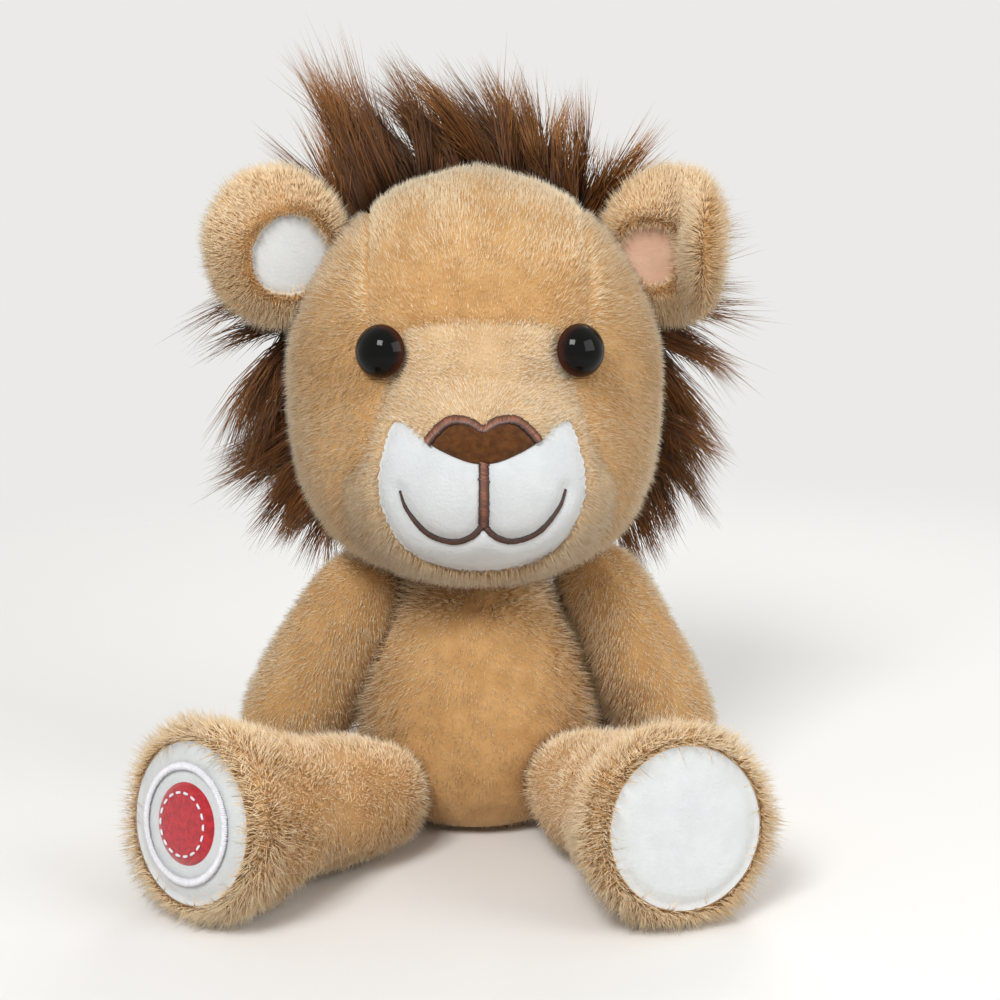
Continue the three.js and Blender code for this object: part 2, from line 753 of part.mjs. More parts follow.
// Nose and mouth lie on the muzzle.
const noseOutline = outline(noseShares, noseWidth, noseHeight, noseMiddle, smallSides);
const lift = headForm(seamGap, headSides, headRings);
const feltLayer = headForm(seamGap + feltThickness, headSides, headRings).subtract(lift);
const threadLayer = headForm(seamGap + feltThickness + threadHeight, headSides, headRings).subtract(lift);
const mouthLayer = headForm(seamGap + threadHeight, headSides, headRings).subtract(lift);
const noseFelt = prism(grown(noseOutline, -threadWidth - seamGap), -reach, -snoutDepth);
const noseAll = prism(noseOutline, -reach, -snoutDepth);
const noseInside = prism(grown(noseOutline, -threadWidth), -reach, -snoutDepth);
const aroundNose = prism(grown(noseOutline, seamGap), -reach, -snoutDepth);
const smilePoints = smileShares.map(([x, z]) => {
  return new THREE.Vector2(x * smileHalfWidth, smileTop + z * smileHeight);
});
const mirrored = smilePoints.map((point) => new THREE.Vector2(-point.x, point.y));
const philtrumPoints = [
  new THREE.Vector2(0, noseMiddle - philtrumShares[0][1] * noseHeight),
  new THREE.Vector2(0, smileTop + philtrumShares[1][1] * smileHeight),
];
const mouth = prism(band(smilePoints, threadWidth), -reach, -snoutDepth)
  .add(prism(band(mirrored.reverse(), threadWidth), -reach, -snoutDepth))
  .add(prism(band(philtrumPoints, threadWidth), -reach, -snoutDepth))
  .subtract(aroundNose);
head.add(
  meshOf("nose_felt", feltLayer.intersect(noseFelt), finishes.noseFelt),
  meshOf("nose_border_stitch", threadLayer.intersect(noseAll.subtract(noseInside)), finishes.brownThread),
  meshOf("mouth_stitch", mouthLayer.intersect(mouth), finishes.brownThread),
);

// Mane: four panels of the head's back, each with its locks.
function sector(from, to) {
  const edge = (turn) => new THREE.Vector2(blockSize * Math.sin(turn), blockSize * Math.cos(turn));
  const points = [new THREE.Vector2(0, 0), edge(from), edge((from + to) / 2), edge(to)];
  return prism(points, maneSeamPlace + seamHalf, blockSize);
}
const edgeGap = seamGap / neckRadius;
const maneSectors = {
  crown: sector(-maneCrownEdge + edgeGap, maneCrownEdge - edgeGap),
  left: sector(maneCrownEdge + edgeGap, maneNapeEdge - edgeGap),
  right: sector(-maneNapeEdge + edgeGap, -maneCrownEdge - edgeGap),
  nape: sector(maneNapeEdge + edgeGap, 2 * Math.PI - maneNapeEdge - edgeGap),
};
function lock(row, angle, length, bend) {
  const turn = THREE.MathUtils.degToRad(angle);
  const around = new THREE.Vector3(Math.sin(turn), 0, Math.cos(turn));
  const side = Math.sqrt(1 - (row.back / headHalfDepth) ** 2);
  const spot = around.clone().multiply(new THREE.Vector3(headHalfWidth * side, 1, headHalfHeight * side));
  spot.y = row.back;
  const direction = spot.clone().normalize();
  const root = direction.clone().multiplyScalar(headReach(direction, 0) - lockSink);
  const way = around.clone().setY(row.leanShare).normalize();
  const lockWidth = row.on === "nape" ? napeLockRadius : lockRadius;
  const profile = lockShares.map(([radius, along]) => {
    return new THREE.Vector2(radius * lockWidth, along * (length + lockSink));
  });
  const shape = new THREE.LatheGeometry(profile, lockSides);
  const places = shape.getAttribute("position");
  for (let i = 0; i < places.count; i += 1) {
    const share = places.getY(i) / length;
    places.setX(i, places.getX(i) + bend * lockSweep * share * share);
  }
  const toWay = new THREE.Quaternion().setFromUnitVectors(new THREE.Vector3(0, 1, 0), way);
  return shape.applyQuaternion(toWay).translate(root.x, root.y, root.z);
}
const maneMass = headForm(maneBulk, headSides, headRings).subtract(headHollow);
for (const [place, wedge] of Object.entries(maneSectors)) {
  let panel = (place === "nape" ? headSkin : maneMass).intersect(wedge);
  for (const row of maneRows.filter((each) => each.on === place)) {
    for (let i = 0; i < row.count; i += 1) {
      const angle = THREE.MathUtils.lerp(row.from, row.to, i / (row.count - 1));
      const bend = i % 2 ? 1 : -1;
      const length = row.length * (i % 2 ? 1 : shortLockShare);
      panel = panel.add(solidOf(lock(row, angle, length, bend)));
    }
  }
  head.add(meshOf(`mane_${place}`, panel.subtract(headHollow), finishes.maneBrown));
}

// Ears.
function ellipse(halfWidth, halfHeight, middle) {
  const loop = [];
  for (let i = 0; i < earSides; i += 1) {
    const angle = (i / earSides) * 2 * Math.PI;
    loop.push(new THREE.Vector2(middle + halfWidth * Math.cos(angle), halfHeight * Math.sin(angle)));
  }
  return loop;
}

// A padded layer between two surfaces, out to a rim, from its middle or from the edge of a hole.
function padLayer(start, rim, low, high, open) {
  const sides = rim.length;
  const rings = 3;
  const places = [];
  const index = [];
  for (const surface of [low, high]) {
    for (let ring = 0; ring <= rings; ring += 1) {
      for (let i = 0; i < sides; i += 1) {
        const point = start[i].clone().lerp(rim[i], ring / rings);
        places.push(point.x, surface(point), point.y);
      }
    }
  }
  const far = (rings + 1) * sides;
  const quad = (a, b, c, d) => index.push(a, b, c, a, c, d);
  for (let i = 0; i < sides; i += 1) {
    const next = (i + 1) % sides;
    for (let ring = 0; ring < rings; ring += 1) {
      const near = ring * sides;
      const out = near + sides;
      quad(near + i, out + i, out + next, near + next);
      quad(far + near + i, far + near + next, far + out + next, far + out + i);
    }
    const edge = rings * sides;
    quad(edge + i, far + edge + i, far + edge + next, edge + next);
    if (open) quad(i, next, far + next, far + i);
  }
  const geometry = new THREE.BufferGeometry();
  geometry.setAttribute("position", new THREE.Float32BufferAttribute(places, 3));
  geometry.setIndex(index);
  return geometry;
}

// Cups an ear towards the front, and folds its outer half forward.
function earShape(geometry, folded) {
  const places = geometry.getAttribute("position");
  for (let i = 0; i < places.count; i += 1) {
    const x = places.getX(i);
    const spread = (x / earHalfWidth) ** 2 + (places.getZ(i) / earHalfHeight) ** 2;
    let y = places.getY(i) - (folded ? 0 : earCup * (Math.min(spread, 1) - 0.5));
    let across = x;
    const past = x - earFoldPlace;
    if (folded && past > 0) {
      const angle = Math.min(past / earFoldRadius, earFoldAngle);
      const straight = past - angle * earFoldRadius;
      across = earFoldPlace + (earFoldRadius + y) * Math.sin(angle) + straight * Math.cos(angle);
      y = (y + earFoldRadius) * Math.cos(angle) - earFoldRadius - straight * Math.sin(angle);
    }
    places.setX(i, across);
    places.setY(i, y);
  }
  return solidOf(geometry);
}
// The main body of a solid, without the slivers that a cut leaves beside it.
function mainBody(solid) {
  return solid.decompose().reduce((best, each) => (each.volume() > best.volume() ? each : best));
}
function earThickness(point, inset) {
  const spread = (point.x / earHalfWidth) ** 2 + (point.y / earHalfHeight) ** 2;
  return Math.max(earHalfThickness * Math.sqrt(Math.max(1 - spread, 0)) - inset, seamHalf);
}
for (const [side, sign] of [["left", 1], ["right", -1]]) {
  const group = new THREE.Group();
  group.position.set(sign * earOut, earBack, earUp);
  head.add(group);
  const folded = side === "left";
  const patchMiddleX = -sign * earPatchIn;
  const rim = ellipse(earHalfWidth, earHalfHeight, 0);
  const hole = ellipse(earPatchHalfWidth + earPatchGap, earPatchHalfHeight + earPatchGap, patchMiddleX);
  const patchRim = ellipse(earPatchHalfWidth, earPatchHalfHeight, patchMiddleX);
  const centre = rim.map(() => new THREE.Vector2(0, 0));
  const patchCentre = rim.map(() => new THREE.Vector2(patchMiddleX, 0));
  const faceSide = (point) => -earThickness(point, 0);
  const patchSide = (point) => -earThickness(point, earPatchRecess);
  const backSide = (point) => earThickness(point, 0);
  const front = padLayer(hole, rim, faceSide, () => seamHalf, true);
  const patch = padLayer(patchCentre, patchRim, patchSide, () => seamHalf, false);
  const back = padLayer(centre, rim, () => seamHalf, backSide, false);
  const outside = (point) => backSide(point) + seamGap;
  const backSpace = earShape(padLayer(centre, rim, () => -seamHalf, outside, false), folded);
  const headSpace = headForm(seamGap, headSides, headRings).translate([-sign * earOut, -earBack, -earUp]);
  const frontSpace = headSpace.add(backSpace);
  const patchFinish = folded ? finishes.pinkVelour : finishes.whiteVelour;
  group.add(
    meshOf(`ear_${side}_front`, mainBody(earShape(front, folded).subtract(frontSpace)), finishes.tanPlush),
    meshOf(`ear_${side}_patch`, earShape(patch, folded).subtract(frontSpace), patchFinish),
    meshOf(`ear_${side}_back`, earShape(back, folded).subtract(headSpace), finishes.tanPlush),
  );
}

// Thread ring that sews the head to the neck, low enough to clear the head as it nods.
const ringLow = neckHeight - ringDrop;
const ringSteps = 5;
const ringProfile = [];
for (let i = 0; i <= ringSteps; i += 1) {
  const angle = (i / ringSteps) * 2 * Math.PI;
  const half = threadHeight / 2;
  const radius = bodyReach(ringLow) + seamGap + half + half * Math.cos(angle);
  ringProfile.push(new THREE.Vector2(radius, ringLow + half * (1 + Math.sin(angle))));
}
const neckRing = solidOf(new THREE.LatheGeometry(ringProfile, roundSides).rotateX(Math.PI / 2));
lion.add(meshOf("neck_ring_thread", neckRing, finishes.tanThread));

// Tail.
const tail = new THREE.Group();
tail.position.set(0, bodyReach(tailHeight) + tailRadius + jointGap, tailHeight);
lion.add(tail);
const tailDrop = tailHeight - tailRadius - seamGap;
const tailPoints = tailShares.map(([sweep, along, drop]) => {
  return new THREE.Vector3(sweep * tailSweep, along * tailLength, -drop * tailDrop);
});
const tailPath = new THREE.CatmullRomCurve3(tailPoints);
const tailSection = new THREE.Shape();
tailSection.absarc(0, 0, tailRadius, 0, 2 * Math.PI);
const tailOptions = { steps: 8, curveSegments: 5, extrudePath: tailPath, bevelEnabled: false };
const tailTube = solidOf(new THREE.ExtrudeGeometry(tailSection, tailOptions));
const tailRoot = solidOf(new THREE.SphereGeometry(tailRadius, coreSides, coreSides / 2));
tail.add(meshOf("tail_cloth", tailTube.add(tailRoot), finishes.tanPlush));
const tuftCurve = tuftShares.map(([radius, along]) => {
  return new THREE.Vector2(radius * tuftRadius, along * tuftLength);
});
const tuft = new THREE.Group();
const tailEnd = tailPath.getPoint(1);
const tailWay = tailPath.getTangent(1);
tuft.position.copy(tailEnd.clone().addScaledVector(tailWay, seamGap));
tuft.position.z += tuftRadius - tailRadius;
const tuftWay = new THREE.Vector3(tailWay.x, tailWay.y, 0).normalize();
tuft.quaternion.setFromUnitVectors(new THREE.Vector3(0, 0, 1), tuftWay);
tail.add(tuft);
tuft.add(meshOf("tail_tuft", solidOf(turned(smoothProfile(tuftCurve, 7), 0, 10)), finishes.maneBrown));

export default lion;
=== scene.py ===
"""A small sitting plush lion: fur panels over stuffing, safety eyes, a stitched face and a shaggy mane."""
import math

import bmesh
import bpy
import numpy as np
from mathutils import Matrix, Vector
from mathutils.bvhtree import BVHTree


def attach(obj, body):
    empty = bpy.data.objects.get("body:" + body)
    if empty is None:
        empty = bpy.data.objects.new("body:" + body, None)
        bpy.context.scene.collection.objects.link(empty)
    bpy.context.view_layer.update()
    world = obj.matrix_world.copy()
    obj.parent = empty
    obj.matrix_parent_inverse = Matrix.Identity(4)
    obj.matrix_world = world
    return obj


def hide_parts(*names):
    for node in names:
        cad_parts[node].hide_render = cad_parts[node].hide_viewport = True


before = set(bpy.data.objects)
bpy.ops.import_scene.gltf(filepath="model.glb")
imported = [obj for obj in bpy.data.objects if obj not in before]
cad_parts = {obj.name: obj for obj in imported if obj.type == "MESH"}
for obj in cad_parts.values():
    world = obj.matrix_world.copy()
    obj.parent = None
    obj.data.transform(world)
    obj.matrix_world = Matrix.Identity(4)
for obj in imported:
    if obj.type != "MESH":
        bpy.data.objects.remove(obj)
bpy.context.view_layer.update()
scene = bpy.context.scene
mm = 0.001

# Studio: a pale floor and plain soft light from large lamps, and the camera a little above the lion,
# looking straight at its face.
camera_data = bpy.data.cameras.new("camera")
camera_data.sensor_width = 36
camera_data.lens = 70.45
camera = bpy.data.objects.new("camera", camera_data)
camera.location = (0.0059, -0.4589, 0.1573)
camera.rotation_euler = (math.radians(80), 0, 0)
scene.collection.objects.link(camera)
scene.camera = camera
scene.view_settings.view_transform = "Standard"


def linear(red, green, blue):
    """The linear colour of a screen colour from 0 to 255."""
    shares = [value / 255 for value in (red, green, blue)]
    return [share / 12.92 if share <= 0.04045 else ((share + 0.055) / 1.055) ** 2.4 for share in shares] + [1]


class Wire:
    """One output of a shader node, so that a finish is written as sums and products."""

    def __init__(self, finish, socket):
        self.finish = finish
        self.socket = socket

    def maths(self, operation, *values):
        return self.finish.node("ShaderNodeMath", {"operation": operation}, dict(enumerate(values)))

    def __add__(self, other):
        return self.maths("ADD", self, other)

    def __sub__(self, other):
        return self.maths("SUBTRACT", self, other)

    def __rsub__(self, other):
        return self.maths("SUBTRACT", other, self)

    def __mul__(self, other):
        return self.maths("MULTIPLY", self, other)

    __radd__ = __add__
    __rmul__ = __mul__

    def step(self, low, high):
        """0 below low and 1 above high, with a smooth rise between them."""
        values = {"Value": self, "From Min": low, "From Max": high}
        return self.finish.node("ShaderNodeMapRange", {"interpolation_type": "SMOOTHSTEP"}, values)


class Finish:
    """A material: constant values sit on its shader's sockets, and what varies is linked to them."""

    def __init__(self, name, **constants):
        self.material = bpy.data.materials.new(name)
        self.material.use_nodes = True
        self.tree = self.material.node_tree
        self.shader = self.tree.nodes["Principled BSDF"]
        for socket, value in constants.items():
            self.shader.inputs[socket.replace("_", " ")].default_value = value

    def node(self, kind, settings, inputs, output=0):
        made = self.tree.nodes.new(kind)
        for name, value in settings.items():
            setattr(made, name, value)
        for name, value in inputs.items():
            if isinstance(value, Wire):
                self.tree.links.new(value.socket, made.inputs[name])
            else:
                made.inputs[name].default_value = value
        return Wire(self, made.outputs[output])

    def mixed(self, factor, first, second):
        """A colour between two colours, each a wire or a screen colour from 0 to 255."""
        first, second = (one if isinstance(one, Wire) else linear(*one) for one in (first, second))
        return self.node("ShaderNodeMix", {"data_type": "RGBA"}, {0: factor, 6: first, 7: second}, 2)

    def place(self):
        """Each point's own place on the piece, in metres."""
        return self.node("ShaderNodeTexCoord", {}, {}, "Object")

    def noise(self, scale, detail=3):
        return self.node("ShaderNodeTexNoise", {}, {"Vector": self.place(), "Scale": scale, "Detail": detail})

    def bump(self, height, strength, distance):
        """Raises the surface where a value is high."""
        values = {"Strength": strength, "Distance": distance, "Height": height}
        self.feed("Normal", self.node("ShaderNodeBump", {}, values))

    def feed(self, socket, wire):
        self.tree.links.new(wire.socket, self.shader.inputs[socket])


def shown(name, mesh, finish):
    """A mesh with its finish, as an object of the scene."""
    mesh.materials.append(finish.material)
    made = bpy.data.objects.new(name, mesh)
    scene.collection.objects.link(made)
    return made


floor_radius, floor_drop = 0.6, 0.0004
floor_finish = Finish("floor_paper", Roughness=0.9)
floor_finish.feed("Base Color", floor_finish.mixed(floor_finish.noise(3), (232, 231, 229), (236, 235, 233)))
from_middle = floor_finish.node("ShaderNodeVectorMath", {"operation": "LENGTH"}, {0: floor_finish.place()}, 1)
floor_finish.feed("Alpha", 1 - from_middle.step(0.16, 0.55))
paper = bmesh.new()
bmesh.ops.create_circle(paper, cap_ends=True, segments=96, radius=floor_radius)
bmesh.ops.translate(paper, verts=paper.verts, vec=(0, 0, -floor_drop))
floor_mesh = bpy.data.meshes.new("floor")
paper.to_mesh(floor_mesh)
paper.free()
shown("floor", floor_mesh, floor_finish)

scene.world = bpy.data.worlds.new("studio")
scene.world.use_nodes = True
sky = scene.world.node_tree
backdrop = sky.nodes["Background"]
backdrop.inputs["Color"].default_value = linear(235, 234, 232)
path = sky.nodes.new("ShaderNodeLightPath")
rays = path.outputs["Is Camera Ray"]
for kind in ("Is Glossy Ray", "Is Transmission Ray"):
    either = sky.nodes.new("ShaderNodeMath")
    either.operation = "MAXIMUM"
    sky.links.new(rays, either.inputs[0])
    sky.links.new(path.outputs[kind], either.inputs[1])
    rays = either.outputs[0]
level = sky.nodes.new("ShaderNodeMapRange")
level.inputs["To Min"].default_value = 0.42
level.inputs["To Max"].default_value = 1.0
sky.links.new(rays, level.inputs["Value"])
sky.links.new(level.outputs[0], backdrop.inputs["Strength"])

for name, place, size, power in (
    ("lamp_key", (-0.25, -0.75, 0.75), 0.35, 8.0),
    ("lamp_fill", (0.75, -0.5, 0.45), 0.6, 3.6),
    ("lamp_back", (0.2, 0.8, 0.6), 0.6, 4.5),
):
    lamp_data = bpy.data.lights.new(name, "AREA")
    lamp_data.size = size
    lamp_data.energy = power
    lamp = bpy.data.objects.new(name, lamp_data)
    lamp.location = place
    lamp.rotation_euler = (Vector((0, 0, 0.08)) - Vector(place)).to_track_quat("-Z", "Y").to_euler()
    scene.collection.objects.link(lamp)

# Head skin: nine panels of plush sewn edge to edge over hard stuffing. The form is an egg with a swelling
# muzzle, drawn in along the seams and round the eyes. Its short pile is brushed away from the nose.
head_centre = np.array((0, 0, 0.1085))
head_turn = math.radians(3)
head_half = np.array((43.5, 36, 45.5)) * mm
muzzle_half = np.array((31, 27, 23)) * mm
muzzle_centre = np.array((0, -21, -22)) * mm
skin_depth = 0.8 * mm
cloth_thickness = 0.6 * mm
turn_matrix = np.array(
    ((math.cos(head_turn), -math.sin(head_turn), 0), (math.sin(head_turn), math.cos(head_turn), 0), (0, 0, 1))
)


def to_head(points):
    """From the head's own frame to the lion's, for places."""
    return points @ turn_matrix.T + head_centre


def own_frame(points):
    """From the lion's frame to the head's own, for places."""
    return (points - head_centre) @ turn_matrix


def unit(ways):
    return ways / np.maximum(np.linalg.norm(ways, axis=-1, keepdims=True), 1e-12)


def swell(distance, width):
    """1 at a seam or centre, and falling away from it like a bell."""
    return np.exp(-((distance / width) ** 2))


def ramp(values, start, run):
    """0 up to a start and 1 from a run beyond it, with a straight rise between them."""
    return np.clip((values - start) / run, 0, 1)


def bearing(points):
    """The angle of places in the front view of the head, in degrees from its top."""
    return np.degrees(np.arctan2(points[:, 0], points[:, 2]))


def head_reach(ways):
    """How far the head's surface lies from its middle along unit directions."""
    narrowing = 1 - 0.06 * ways[:, 2]
    low = np.clip(-ways[:, 2] / 0.7, 0, 1)
    power = 2 + 0.7 * low * low * (3 - 2 * low)
    shares = np.abs(ways) / head_half
    shares[:, 0] /= narrowing
    egg = (shares ** power[:, None]).sum(1) ** (-1 / power)
    scaled, middle = ways / muzzle_half, muzzle_centre / muzzle_half
    along, length = scaled @ middle, (scaled**2).sum(1)
    rest = along**2 - length * (middle @ middle - 1)
    muzzle = np.where(rest > 0, (along + np.sqrt(np.maximum(rest, 0))) / length, 0)
    return ((egg / mm) ** 10 + (np.maximum(muzzle, 0) / mm) ** 10) ** 0.1 * mm


def smooth_line(points, steps=8, closed=False):
    """A smooth line through points, open or closed."""
    points = np.array(points, float)
    count = len(points)

    def pick(i):
        return points[i % count] if closed else points[min(max(i, 0), count - 1)]

    line = []
    for i in range(count if closed else count - 1):
        a, b, c, d = (pick(i + k) for k in (-1, 0, 1, 2))
        for t in np.arange(steps) / steps:
            bend = (2 * a - 5 * b + 4 * c - d) * t**2 + (3 * b - a - 3 * c + d) * t**3
            line.append(b + 0.5 * ((c - a) * t + bend))
    return np.array(line if closed else line + [points[-1]])


def both_sides(side):
    """Shares of an even outline: down one side, through the lowest point and up the other side."""
    return side + [(0, -0.5)] + [(-x, z) for x, z in reversed(side)]


def edge_distance(flat, line, closed=True):
    """Distance of points in the front view from an outline or a line."""
    ends = np.roll(line, -1, 0) if closed else line[1:]
    starts = line if closed else line[:-1]
    nearest = np.full(len(flat), 1.0)
    for start, end in zip(starts, ends):
        way = end - start
        share = np.clip((flat - start) @ way / (way @ way), 0, 1)
        nearest = np.minimum(nearest, np.linalg.norm(flat - start - share[:, None] * way, axis=1))
    return nearest


def inside(flat, loop):
    """Which points in the front view lie inside an outline."""
    within = np.zeros(len(flat), bool)
    for start, end in zip(loop, np.roll(loop, -1, 0)):
        crosses = (start[1] > flat[:, 1]) != (end[1] > flat[:, 1])
        rise = end[1] - start[1] or 1e-12
        within ^= crosses & (flat[:, 0] < start[0] + (flat[:, 1] - start[1]) * (end[0] - start[0]) / rise)
    return within


snout_shares = [(0.14, 0.49), (0.27, 0.45), (0.31, 0.28), (0.4, 0), (0.48, -0.14)]
snout_shares += [(0.44, -0.32), (0.28, -0.46)]
patch_shares = [(-0.23, 0.36), (-0.41, 0.5), (-0.49, 0.26), (-0.5, 0), (-0.4, -0.3), (-0.23, -0.45)]
nose_shares = [(0.13, 0.46), (0.31, 0.46), (0.48, 0.08), (0.46, -0.14)]
patch_loop, nose_loop = ([(0, 0.3)] + both_sides(side) for side in (patch_shares, nose_shares))
snout_edge = smooth_line(both_sides(snout_shares), closed=True) * (62 * mm, 58 * mm) + (0, -16 * mm)
patch_edge = smooth_line(patch_loop, closed=True) * (44 * mm, 33 * mm) + (0, -25 * mm)
nose_edge = smooth_line(nose_loop, 10, closed=True) * (23.4 * mm, 9.4 * mm) + (0, -11.9 * mm)
forehead_half_width = 24 * mm
mane_seam, mane_depth = 11 * mm, 3.4 * mm
crown_angle, nape_angle = 46, 137
neck_place = np.array((0, 0, -48.5)) * mm
neck_hole, neck_room = 15.5 * mm, 16.5 * mm
smile_shares = [(0, -0.6), (0.14, -0.84), (0.36, -0.96), (0.66, -0.8), (0.9, -0.35), (0.98, 0)]
smile_half = smooth_line(smile_shares) * (18 * mm, 11.5 * mm) + (0, -22.5 * mm)
smile = np.concatenate((smile_half[:0:-1] * (-1, 1), smile_half))
philtrum = np.linspace((0, -16 * mm), (0, -29.6 * mm), 12)
eye_seats = []
for sign in (1, -1):
    across, up = sign * 21.7 * mm, 6.5 * mm
    deep = -head_half[1] * math.sqrt(1 - (across / head_half[0]) ** 2 - (up / head_half[2]) ** 2)
    way = unit(np.array((across, deep, up)))
    eye_seats.append(way * head_reach(way[None])[0])


def head_panel(points):
    """The number of the panel that each point of the head belongs to."""
    flat = points[:, [0, 2]]
    angle = bearing(points)
    panel = np.where(points[:, 0] > 0, 1, 2)
    panel[(np.abs(points[:, 0]) < forehead_half_width) & (points[:, 2] > 0)] = 0
    front = points[:, 1] < -14 * mm
    panel[inside(flat, snout_edge) & front] = 3
    panel[inside(flat, patch_edge) & front] = 4
    sides = np.where(np.abs(angle) > nape_angle, 8, np.where(angle > 0, 6, 7))
    back = np.where(np.abs(angle) < crown_angle, 5, sides)
    panel = np.where(points[:, 1] > mane_seam, back, panel)
    panel[np.linalg.norm(points - neck_place, axis=1) < neck_hole] = -1
    return panel


def head_skin(ways):
    """Points of the head's cloth along unit directions, in the head's own frame."""
    points = ways * (head_reach(ways) - skin_depth)[:, None]
    flat = points[:, [0, 2]]
    dent = 0.7 * swell(edge_distance(flat, snout_edge), 1.6 * mm)
    dent += 0.6 * swell(edge_distance(flat, patch_edge), 1.2 * mm)
    dent += swell(edge_distance(flat, smile, False), 1.7 * mm)
    dent += 1.2 * swell(edge_distance(flat, philtrum, False), 2.0 * mm)
    dent *= ramp(-points[:, 1], 12 * mm, 6 * mm)
    above = ramp(points[:, 2], 0, 4 * mm) * ramp(-points[:, 1], -12 * mm, 4 * mm)
    dent += 0.8 * above * swell(np.abs(points[:, 0]) - forehead_half_width, 1.6 * mm)
    dent += 0.8 * swell(points[:, 1] - mane_seam, 1.8 * mm)
    for seat in eye_seats:
        dent += 1.4 * swell(np.linalg.norm(points - seat, axis=1), 7.5 * mm)
    behind = ramp(points[:, 1], mane_seam, 3 * mm)
    off_nape = ramp(-np.abs(bearing(points)), 3 - nape_angle, 8)
    dent -= mane_depth / mm * behind * behind * (3 - 2 * behind) * off_nape
    return points - ways * (dent * mm)[:, None]


def points_of(verts):
    """The places of vertices as rows of numbers."""
    return np.array([vert.co for vert in verts])


def put(form, places):
    """Moves a form's vertices to new places."""
    for vert, place in zip(form.verts, places):
        vert.co = place
    form.normal_update()


def piece(name, form, finish, body, node):
    """A finished form as a named piece that rides on a body, in the place of a CAD node if one is named."""
    mesh = bpy.data.meshes.new(name)
    form.to_mesh(mesh)
    form.free()
    mesh.polygons.foreach_set("use_smooth", [True] * len(mesh.polygons))
    made = shown(name, mesh, finish)
    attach(made, body)
    if node:
        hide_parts(node)
    return made


def roots(form, count, seed):
    """Evenly spread points on a form, with the surface's direction at each."""
    form.verts.index_update()
    corners = np.array([[loop.vert.index for loop in three] for three in form.calc_loop_triangles()])
    places = points_of(form.verts)
    normals = np.array([vert.normal for vert in form.verts])
    a, b, c = (places[corners[:, i]] for i in range(3))
    area = np.linalg.norm(np.cross(b - a, c - a), axis=1)
    random = np.random.default_rng(seed)
    chosen = corners[random.choice(len(corners), count, p=area / area.sum())]
    u, v = random.random(count), random.random(count)
    over = u + v > 1
    u, v = np.where(over, 1 - u, u), np.where(over, 1 - v, v)
    shares = np.stack((1 - u - v, u, v), 1)[:, :, None]
    return (places[chosen] * shares).sum(1), unit((normals[chosen] * shares).sum(1))


def sewn_panels(form, labels, panels, body):
    """Cuts a form into panels of cloth, each (name, CAD node, slot, roots), and returns the roots of each."""
    grown = {}
    for number, (name, node, slot, count) in enumerate(panels):
        panel = form.copy()
        panel.faces.ensure_lookup_table()
        others = [panel.faces[i] for i in np.nonzero(labels != number)[0]]
        bmesh.ops.delete(panel, geom=others, context="FACES")
        panel.normal_update()
        grown[name] = roots(panel, count, 10 + number)
        inner, edges = panel.faces[:], panel.verts[:]
        bmesh.ops.extrude_face_region(panel, geom=inner, use_keep_orig=True)
        for vert in edges:
            vert.co -= vert.normal * cloth_thickness
        bmesh.ops.reverse_faces(panel, faces=inner)
        piece(f"{name}_skin", panel, backings[slot], body, node)
    form.free()
    return grown


def centres_of(form):
    return np.array([face.calc_center_median() for face in form.faces])


def wander(points, size, seed):
    """A smooth random field of directions with swirls of a given size."""
    random = np.random.default_rng(seed)
    field = np.zeros((len(points), 3))
    for _ in range(7):
        wave = random.normal(size=(3, 3)) / size
        field += np.sin(points @ wave + random.random(3) * 6.3)
    return field / 3.5


def strand_form(rings):
    """One tapering strand with three sides from 0 to 1, cut into rings so that it can bend."""
    form = bmesh.new()
    bmesh.ops.create_cone(form, cap_ends=True, segments=3, radius1=1, radius2=0, depth=1)
    bmesh.ops.translate(form, verts=form.verts, vec=(0, 0, 0.5))
    for ring in range(1, rings):
        geometry = form.verts[:] + form.edges[:] + form.faces[:]
        bmesh.ops.bisect_plane(form, geom=geometry, plane_co=(0, 0, ring / rings), plane_no=(0, 0, 1))
    bmesh.ops.triangulate(form, faces=form.faces)
    form.verts.index_update()
    places = points_of(form.verts)
    faces = np.array([[vert.index for vert in face.verts] for face in form.faces])
    form.free()
    return places, faces


def hair_map(mesh, tones, along):
    """A mesh's own UV map: the tone of each hair or stitch, and how far along it each corner is."""
    places = np.stack((tones, along * 0.96 + 0.02), 1)
    mesh.uv_layers.new(name="OFBake").data.foreach_set("uv", places.ravel())


